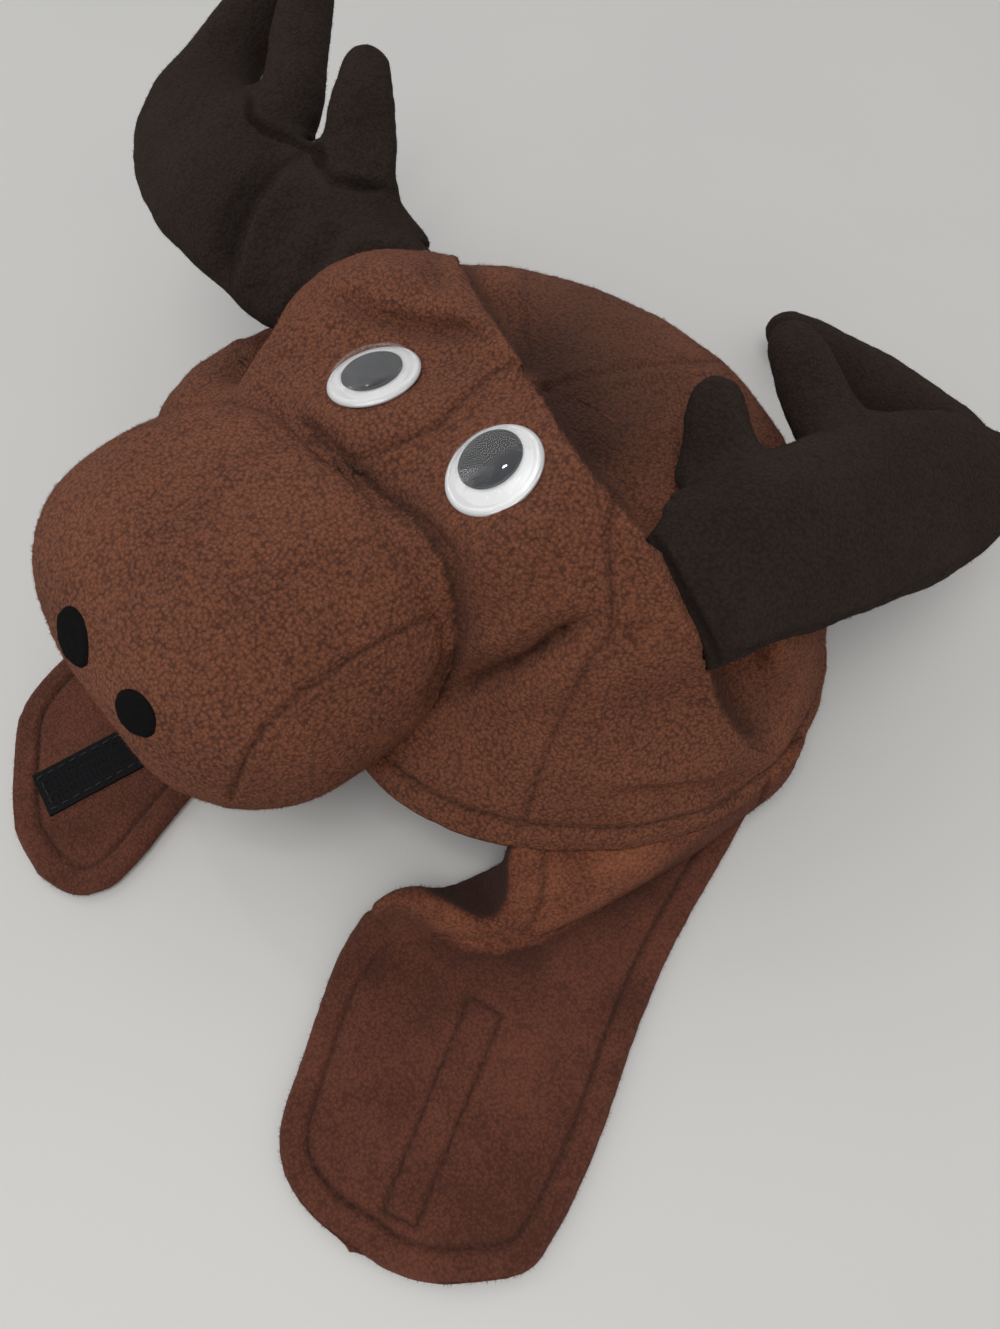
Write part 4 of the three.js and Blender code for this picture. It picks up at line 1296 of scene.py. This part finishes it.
LIP_EDGE = [(330, 930), (350, 915), (372, 908), (396, 907), (418, 917), (436, 928), (466, 947), (500, 952),
            (540, 941), (600, 906), (652, 874), (705, 832), (775, 776)]
FLAP_LUMPS = [
    # height mm, x, y, radius x px, radius y px, turn
    (-1.6, 408, 985, 26, 60, 20),
    (1.4, 372, 1030, 26, 70, 20),
    (-1.2, 440, 940, 30, 10, 30),
    (1.2, 545, 1010, 30, 90, 25),
    (-1.0, 350, 1160, 26, 50, 10),
]
flap_left, area_left = flap_piece("flap_left", FLAP_LEFT, tape_mark, True)
flap_right, area_right = flap_piece("flap_right", FLAP_RIGHT)
for obj, node, flat, area in ((flap_left, "ear_flap_left", (0.078, 0.165), area_left),
                              (flap_right, "ear_flap_right", (0.072, 0.140), area_right)):
    if node == "ear_flap_left":
        swell(obj.data, FLAP_LUMPS)
    crumple(obj.data, 0.10, 4.5, 31)
    finish_piece(obj, mats["fleece_smooth"], "fleece_back", node)
LIP_SHADES = [
    # share, half width px, side, fade, line: painted shade on the flap where the fold overhangs it
    (0.5, 20, 1, 0.2, [(402, 915), (418, 921), (436, 932), (466, 951), (500, 954), (540, 944), (600, 910),
                       (652, 878), (705, 836)]),
    (0.35, 26, 1, 0.3, [(348, 985), (372, 960), (400, 940)]),
]
kept = taken(flap_left.data.attributes["seam_and_painted_shade"].data, "value", 1, np.float32)
mark_seams_and_painted_shade(flap_left.data, [], 1.0, 0.0, kept, LIP_SHADES)
near, side, t = line_distance(seen(points(flap_left.data)), LIP_EDGE)
looks_up = np.clip((normals(flap_left.data)[:, 2] + 0.3) / 0.2, 0, 1)
above = np.clip(0.5 - side * near / 8, 0, 1) * looks_up * (t > 0)
mark(flap_left.data, "outside", above)
print("points of the lip:", int((above > 0.5).sum()))

# %% [markdown]
# ## The eyes
# A wobbly eye is three mouldings: a white dish with a flange, a dark disc that is free to slide in
# it, and a clear dome pressed over them. Each is turned from half a profile, as the real mould is,
# and seated on its CAD node: the node's flattest direction is the way that the eye looks.

# %% Turned pieces
def own_axes(co):
    """The directions in which points spread least, more and most."""
    return np.linalg.eigh(np.cov((co - co.mean(0)).T))[1].T


def seat_of(node):
    """The middle of a flat CAD node's underside and the way it faces, as a matrix."""
    co = points(frame["nodes"][node].data)
    face = own_axes(co)[0]
    face = face * (1 if face[2] > 0 else -1)
    along = co @ face
    disc = co[along < along.min() + 0.0002]
    turn = Vector(face).to_track_quat("Z", "Y").to_matrix().to_4x4()
    return Matrix.Translation(Vector(disc.mean(0))) @ turn


def turned(name, profile, seat, steps=72):
    """Spins a closed profile of (radius mm, height mm) round the seat's Z axis."""
    bm = bmesh.new()
    ring = [bm.verts.new((r * MM, 0, z * MM)) for r, z in profile]
    edges = [bm.edges.new((a, b)) for a, b in zip(ring, ring[1:])]
    if profile[0][0] > 0.01:
        edges.append(bm.edges.new((ring[-1], ring[0])))
    bmesh.ops.spin(bm, geom=ring + edges, cent=(0, 0, 0), axis=(0, 0, 1), angle=math.tau, steps=steps,
                   use_merge=True, use_duplicate=False, dvec=(0, 0, 0), space=Matrix(),
                   use_normal_flip=False)
    bmesh.ops.remove_doubles(bm, verts=bm.verts, dist=2e-6)
    bmesh.ops.transform(bm, matrix=seat, verts=bm.verts)
    bmesh.ops.recalc_face_normals(bm, faces=bm.faces)
    return piece_of(bm, name)


def arc(radius, top, edge, count=18):
    """Points of a dome's profile, from its crown down to its edge. It is a little fuller than a ball."""
    turns = [k / count * math.pi / 2 for k in range(count + 1)]
    return [(radius * math.sin(a) ** 0.86, edge + (top - edge) * math.cos(a) ** 0.9) for a in turns]


print("seat of the left eye:", [round(v, 4) for v in seat_of("eye_base_left").translation])

# %% Eye materials
eye_white = grained("eye_white", ((0.52, 0.525, 0.535), (0.56, 0.565, 0.575)), 0.28, 300.0, 1.0, (0, 1))
eye_pupil = grained("eye_pupil", ((0.030, 0.032, 0.035), (0.043, 0.045, 0.049)), 0.8, 900.0, 2.0,
                    (0.35, 0.7), Specular_IOR_Level=0.05)
eye_clear, _, _ = plain("eye_clear", (1, 1, 1, 1), 0.01, Transmission_Weight=1.0, IOR=1.46, Alpha=0.12)
print("eye materials:", eye_white.name, eye_pupil.name, eye_clear.name)

# %% Eyes
EYE_R, PUPIL_R = 12.8, 8.3
DISH_TOP, PUPIL_AT = 1.2, 1.25
DISH = [(0, 0), (EYE_R - 0.5, 0), (EYE_R - 0.15, 0.2), (EYE_R, 0.55), (EYE_R - 0.15, 0.9),
        (EYE_R - 0.5, 1.1), (EYE_R - 1.2, DISH_TOP), (0, DISH_TOP)]
DISC = [(0, 0), (PUPIL_R - 0.2, 0), (PUPIL_R, 0.2), (PUPIL_R, 0.55), (PUPIL_R - 0.2, 0.75), (0, 0.75)]
DOME_TOP, DOME_SKIN = 5.4, 0.4
LOOKS_AT = {"right": (372, 372), "left": (489, 453)}        # the pupils in the picture
SLIDE = 2.6     # mm, the most that a pupil may slide
for side in ("right", "left"):
    seat = seat_of("eye_base_" + side)
    dish = turned("eye_dish_" + side, DISH, seat)
    finish_piece(dish, eye_white, "eye_white", "eye_base_" + side)
    out = seat.to_3x3() @ Vector((0, 0, 1))
    way = sight(*LOOKS_AT[side])
    at = EYE_AT + way * ((seat.translation + out * DISH_TOP * MM - EYE_AT).dot(out) / way.dot(out))
    slid = seat.inverted() @ at
    slid.z = 0
    slid *= min(1.0, SLIDE * MM / slid.length)
    disc = turned("eye_disc_" + side, DISC, seat @ Matrix.Translation((slid.x, slid.y, PUPIL_AT * MM)))
    print(side, "pupil has slid by", [round(v * 1000, 1) for v in slid])
    finish_piece(disc, eye_pupil, "eye_pupil", "eye_pupil_" + side)
    outside = arc(EYE_R - 1.3, DOME_TOP, 1.9)
    foot = [(EYE_R - 0.9, 1.75), (EYE_R - 0.75, 1.5), (EYE_R - 0.95, 1.24), (EYE_R - 1.6, 1.22)]
    inside = arc(EYE_R - 1.3 - DOME_SKIN, DOME_TOP - DOME_SKIN, 1.7)
    dome = turned("eye_shell_" + side, outside + foot + inside[::-1], seat)
    finish_piece(dome, eye_clear, "eye_dome", "eye_dome_" + side)

# %% [markdown]
# ## Glints on the domes
# A clear dome is known by its glints. In the picture they are a row of small bright points, the
# reflections of ceiling lamps. Each gets a small lamp of its own, placed where the dome's surface
# mirrors the line of sight. It gives no diffuse light, so it shows mostly in glossy reflections.

# %% Glints
GLINT_POWER, GLINT_SIZE, GLINT_AWAY = 22.0, 0.03, 1.1
GLINTS = [("left", 487, 497), ("left", 499, 492), ("left", 512, 484), ("left", 521, 477), ("left", 530, 469),
          ("right", 368, 399), ("right", 381, 397), ("right", 392, 393)]
for k, (side, x, y) in enumerate(GLINTS):
    clear = rays(bpy.data.objects["eye_shell_" + side])
    way = sight(x, y)
    at, normal, _, _ = clear.ray_cast(EYE_AT, way)
    if at is None:
        print("glint", k, "misses the dome")
        continue
    to_lamp = way.reflect(normal).normalized()
    lamp = bpy.data.lights.new("glint_%d" % k, "POINT")
    lamp.energy, lamp.shadow_soft_size = GLINT_POWER, GLINT_SIZE
    obj = add("glint_%d" % k, lamp)
    obj.location = at + to_lamp * GLINT_AWAY
    obj.visible_diffuse = False
    print("glint", k, "towards", [round(v, 2) for v in to_lamp])

# %% [markdown]
# ## Nostrils
# The nostrils are black felt ovals stitched flat on the muzzle: each is a disc of rings, dropped on
# to the stuffed muzzle along its own facing, so it follows the swelling. A shrinkwrap modifier could
# do it too, but would leave the underside outside the cloth.

# %% Felt nostrils
felt = grained("nostril_felt", ((0.003, 0.003, 0.0032), (0.010, 0.0098, 0.010)), 0.95, 2600.0, 3.0,
               (0.3, 0.75), 0.7, (0.5, 0.0004), Specular_IOR_Level=0.02)
THICK_FELT, FELT_SUNK, FELT_EDGE = 0.9, 0.5, 0.86     # mm, mm, and where the rounding of its edge starts


def drop_on(target, seat, oval, rings=9, steps=56):
    """A closed felt disc whose underside lies in the surface that it is dropped on."""
    tree = rays(target)
    down = -(seat.to_3x3() @ Vector((0, 0, 1)))
    bm = bmesh.new()
    layers = []
    for top in (True, False):
        rows = []
        for k in range(rings + 1):
            share = k / rings
            row = []
            for i in range(steps if k else 1):
                a = i / steps * math.tau
                flat = Vector((math.cos(a) * oval[0] * share, math.sin(a) * oval[1] * share, 0.02))
                start = seat @ flat
                hit = tree.ray_cast(start, down, 0.06)
                at = hit[0] if hit[0] else start
                edge = math.sqrt(max(0, 1 - max(0, (share - FELT_EDGE) / (1 - FELT_EDGE)) ** 2))
                lift = THICK_FELT * edge if top else -FELT_SUNK
                row.append(bm.verts.new(at - down * lift * MM))
            rows.append(row)
        for k in range(rings):
            a, b = rows[k], rows[k + 1]
            for i in range(steps):
                j = (i + 1) % steps
                bm.faces.new((a[0], b[i], b[j]) if k == 0 else (a[i], b[i], b[j], a[j]))
        layers.append(rows[-1])
    for i in range(steps):
        j = (i + 1) % steps
        bm.faces.new((layers[0][i], layers[1][i], layers[1][j], layers[0][j]))
    bmesh.ops.recalc_face_normals(bm, faces=bm.faces)
    return bm


def oval_of(node):
    """Seat and half axes in metres of an oval CAD patch."""
    co = points(frame["nodes"][node].data)
    face, _, long = own_axes(co)
    if face[1] > 0:
        face = -face
    wide = np.cross(face, long)
    middle = co.mean(0)
    half = [np.ptp((co - middle) @ axis) / 2 for axis in (long, wide)]
    seat = Matrix((Vector(long), Vector(wide), Vector(face))).transposed().to_4x4()
    return Matrix.Translation(Vector(middle)) @ seat, half


GROWN = {"right": 1.15, "left": 1.0}            # the stuffed muzzle turns the right one away more
NUDGE = {"right": (25, 15), "left": (-1, 5)}    # pixels, to where the picture shows them
for side in ("right", "left"):
    seat, half = oval_of("nostril_" + side)
    half = [GROWN[side] * h for h in half]
    dx, dy = (v * seen([seat.translation])[0, 2] / FOCAL for v in NUDGE[side])
    seat = Matrix.Translation(RIGHT * dx - UP * dy) @ seat
    patch = piece_of(drop_on(muzzle, seat, half), "nostril_patch_" + side)
    finish_piece(patch, felt, "nostril_felt", "nostril_" + side)

# %% [markdown]
# ## Hook and loop strips
# The strip under the chin is a woven tape with a bed of small bent hooks, and its partner with loops
# is sewn behind the other flap. The hooks are modelled one by one, because a bump map would show no
# hooks from the side. Each is a tube of three sides, and the border stays bare for the stitches.

# %% Hook and loop strips
tape = grained("strip_tape", ((0.004, 0.0042, 0.005), (0.011, 0.0115, 0.013)), 0.8, 1800.0,
               Specular_IOR_Level=0.03)
STRIPS = {
    # node: (pitch mm between hooks, hook height mm, hook half width mm)
    "hook_strip": (1.45, 0.6, 0.15),
    "loop_strip": (1.3, 0.5, 0.3),
}
BARE, SEWN_AT = 0.0032, 0.0022      # the strip's border without hooks, and where its stitches run
STRIP_RUNS = []


def tube(bm, rings):
    """Faces between rings of points, with both ends closed."""
    for a, b in zip(rings, rings[1:]):
        for k in range(len(a)):
            n = (k + 1) % len(a)
            bm.faces.new((a[k], a[n], b[n], b[k]))
    bm.faces.new(rings[0][::-1])
    bm.faces.new(rings[-1])


def strip_piece(node, name, pitch, tall, half):
    """The CAD plate with rounded edges, and a bed of small bent stalks on its bare face."""
    bm = merged_copy(node, False)
    bmesh.ops.dissolve_limit(bm, angle_limit=0.05, verts=bm.verts, edges=bm.edges)
    co = np.array([v.co for v in bm.verts])
    up, wide, long = own_axes(co)
    up = up * (1 if up[2] > 0 else -1) * (1 if node == "hook_strip" else -1)
    middle = sum(axis * ((co @ axis).min() + (co @ axis).max()) / 2 for axis in (up, wide, long))
    half_w, half_l = np.ptp(co @ wide) / 2, np.ptp(co @ long) / 2
    face = ((co - middle) @ up).max()
    bmesh.ops.bevel(bm, geom=bm.edges[:] + bm.verts[:], offset=0.25 * MM, segments=2, affect="EDGES",
                    profile=0.5, material=-1)
    rng = np.random.default_rng(5)
    across, down = int(2 * (half_w - BARE) / (pitch * MM)), int(2 * (half_l - BARE) / (pitch * MM))
    for i in range(across + 1):
        for j in range(down + 1):
            u = (i / across - 0.5) * 2 * (half_w - BARE) + rng.normal() * 0.00012
            w = (j / down - 0.5) * 2 * (half_l - BARE) + rng.normal() * 0.00012
            foot = Vector(middle + wide * u + long * w + up * face)
            lean = Vector(wide) * ((i % 2) * 2 - 1) * 0.45 * MM + Vector(long) * rng.normal() * 0.1 * MM
            rings = []
            for lift, size, bend in ((-0.1, 1.0, 0.0), (0.6 * tall, 0.8, 0.25), (tall, 0.8, 1.0)):
                at = foot + Vector(up) * lift * MM + lean * bend
                rings.append([bm.verts.new(at + Vector(wide) * math.cos(a) * half * size * MM
                                           + Vector(long) * math.sin(a) * half * size * MM)
                              for a in (0.3, 2.4, 4.5)])
            tube(bm, rings)
    bmesh.ops.recalc_face_normals(bm, faces=bm.faces)
    corners = [Vector(middle + wide * a * (half_w - SEWN_AT) + long * b * (half_l - SEWN_AT) + up * face)
               for a, b in ((-1, -1), (1, -1), (1, 1), (-1, 1), (-1, -1))]
    STRIP_RUNS.append([(p.lerp(q, k / 60), Vector(up)) for p, q in zip(corners, corners[1:])
                       for k in range(60)])
    return piece_of(bm, name, False)


for node, (pitch, tall, half) in STRIPS.items():
    piece = strip_piece(node, node + "_bed", pitch, tall, half)
    finish_piece(piece, tape, "strip", node)

# %% [markdown]
# ## Loose fibres
# Brushed cloth has no sharp outline: fine hairs stand out of it. They show only where the surface
# turns away from the camera, so most of them are set there and few elsewhere. Each is a thin spike
# with three sides, leaning its own way, and takes the cloth's own material. Blender's hair would be
# easier to comb, but it isn't a mesh, and every piece here has to be one.

# %% Fuzz
ELSEWHERE, AT_EDGES = 0.15, 3.0     # how closely the hairs stand
LEAN, ROOTED = 0.55, 0.00015        # how far they lean, and how deep they start in metres


def fuzz(target, count, long, wide, material, slot, seed):
    mesh = target.data
    mesh.calc_loop_triangles()
    tris = taken(mesh.loop_triangles, "vertices", 3, int)
    co, n = points(mesh), normals(mesh)
    a, b, c = co[tris[:, 0]], co[tris[:, 1]], co[tris[:, 2]]
    area = np.linalg.norm(np.cross(b - a, c - a), axis=1)
    edge_on = np.exp(-(turned_to_camera(a, n[tris].mean(1))[0] / 0.2) ** 2)
    wanted = area * (ELSEWHERE + AT_EDGES * edge_on)
    rng = np.random.default_rng(seed)
    pick = rng.choice(len(tris), count, p=wanted / wanted.sum())
    s, t = rng.random(count), rng.random(count)
    flip = s + t > 1
    s, t = np.where(flip, 1 - s, s)[:, None], np.where(flip, 1 - t, t)[:, None]
    root = a[pick] + s * (b - a)[pick] + t * (c - a)[pick]
    up = n[tris[pick]].mean(1)
    way = up + LEAN * rng.normal(size=(count, 3))
    way /= np.linalg.norm(way, axis=1)[:, None]
    side = np.cross(way, rng.normal(size=(count, 3)))
    side /= np.linalg.norm(side, axis=1)[:, None]
    other = np.cross(way, side)
    reach = (long * (0.45 + 0.75 * rng.random(count)) * MM)[:, None]
    foot = root - up * ROOTED
    ring = [foot + (side * math.cos(q) + other * math.sin(q)) * wide * 0.5 * MM for q in (0, 2.1, 4.2)]
    tip = root + way * reach
    verts = np.stack(ring + [tip], 1).reshape(-1, 3)
    verts[:, 2] = np.maximum(verts[:, 2], 0.0001)
    base = np.arange(count)[:, None] * 4
    faces = np.concatenate([base + np.array(f) for f in ((0, 1, 3), (1, 2, 3), (2, 0, 3), (2, 1, 0))])
    out = bpy.data.meshes.new("fuzz_" + target.name)
    out.from_pydata(verts, [], faces.tolist())
    obj = add("fuzz_" + target.name, out)
    return finish_piece(obj, material, slot)


FUZZ = [
    # piece, hairs, length mm, width mm, material, slot
    (cap, 19000, 1.0, 0.15, "fleece", "fleece"),
    (muzzle, 7000, 0.9, 0.14, "fleece", "fleece"),
    (bpy.data.objects["antler_skin_right"], 4500, 0.8, 0.13, "antler_fleece", "antler_fleece"),
    (bpy.data.objects["antler_skin_left"], 4500, 0.8, 0.13, "antler_fleece", "antler_fleece"),
    (flap_left, 5000, 1.0, 0.14, "fleece_smooth", "fleece_back"),
    (flap_right, 3500, 1.0, 0.14, "fleece_smooth", "fleece_back"),
]
for k, (target, count, long, wide, material, slot) in enumerate(FUZZ):
    fuzz(target, count, long, wide, mats[material], slot, 50 + k)

# %% [markdown]
# ## Stitches
# The brim and the flaps are topstitched, and a rectangle holds the hidden strip. Each stitch is a
# short bent bar of four sides that dips into the cloth at both ends. They are laid along runs that
# were gathered where the grooves are, every three millimetres.

# %% Thread
thread = grained("thread", ((0.04, 0.017, 0.011), (0.07, 0.034, 0.023)), 0.9, 2500.0, 1.0, (0, 1),
                 Specular_IOR_Level=0.05)
grey = grained("grey_thread", ((0.028, 0.028, 0.029), (0.055, 0.055, 0.057)), 0.8, 2500.0, 1.0, (0, 1),
               Specular_IOR_Level=0.1)
PITCH, STITCH, THICK = 3.0, 2.3, 0.3        # mm: from stitch to stitch, its length, its thickness


def stitched(bm, run):
    """Lays stitches along one run of (place, normal)."""
    count, since, last = 0, 0.0, run[0][0]
    for k in range(1, len(run) - 1):
        place, way = run[k]
        since += (place - last).length
        last = place
        if since < PITCH * MM:
            continue
        since = 0.0
        ahead = run[min(k + 3, len(run) - 1)][0] - run[max(k - 3, 0)][0]
        if ahead.length < 1e-5 or ahead.length > 0.03:
            continue
        ahead = (ahead - way * ahead.dot(way)).normalized()
        side = way.cross(ahead)
        rings = []
        for along, lift in ((-0.5, -0.25), (-0.32, 0.1), (0.32, 0.1), (0.5, -0.25)):
            at = place + ahead * along * STITCH * MM + way * lift * MM
            rings.append([bm.verts.new(at + (side * a + way * b) * THICK * 0.5 * MM)
                          for a, b in ((1, 0), (0, 1), (-1, 0), (0, -1))])
        tube(bm, rings)
        count += 1
    return count


THREADS.append(run_of(rim_round, hem_places, hem_ways, 14.0))
top_of_flap = rays(flap_left)
box_run = []
for a, b in zip(TAPE_BOX[:-1], TAPE_BOX[1:]):
    for k in range(120):
        x, y = (a[c] + (b[c] - a[c]) * k / 120 for c in range(2))
        above = (Vector((x, y, 0)) + SHIFT) * MM + Vector((0, 0, 0.03))
        place, way, _, _ = top_of_flap.ray_cast(above, Vector((0, 0, -1)), 0.05)
        if place:
            box_run.append((place, way))
THREADS.append(box_run)
for name, runs, material, slot in (("topstitches", THREADS, thread, "fleece"),
                                   ("strip_stitches", STRIP_RUNS, grey, "strip")):
    bm = bmesh.new()
    print(name, [stitched(bm, run) for run in runs])
    bmesh.ops.recalc_face_normals(bm, faces=bm.faces)
    finish_piece(piece_of(bm, name), material, slot)
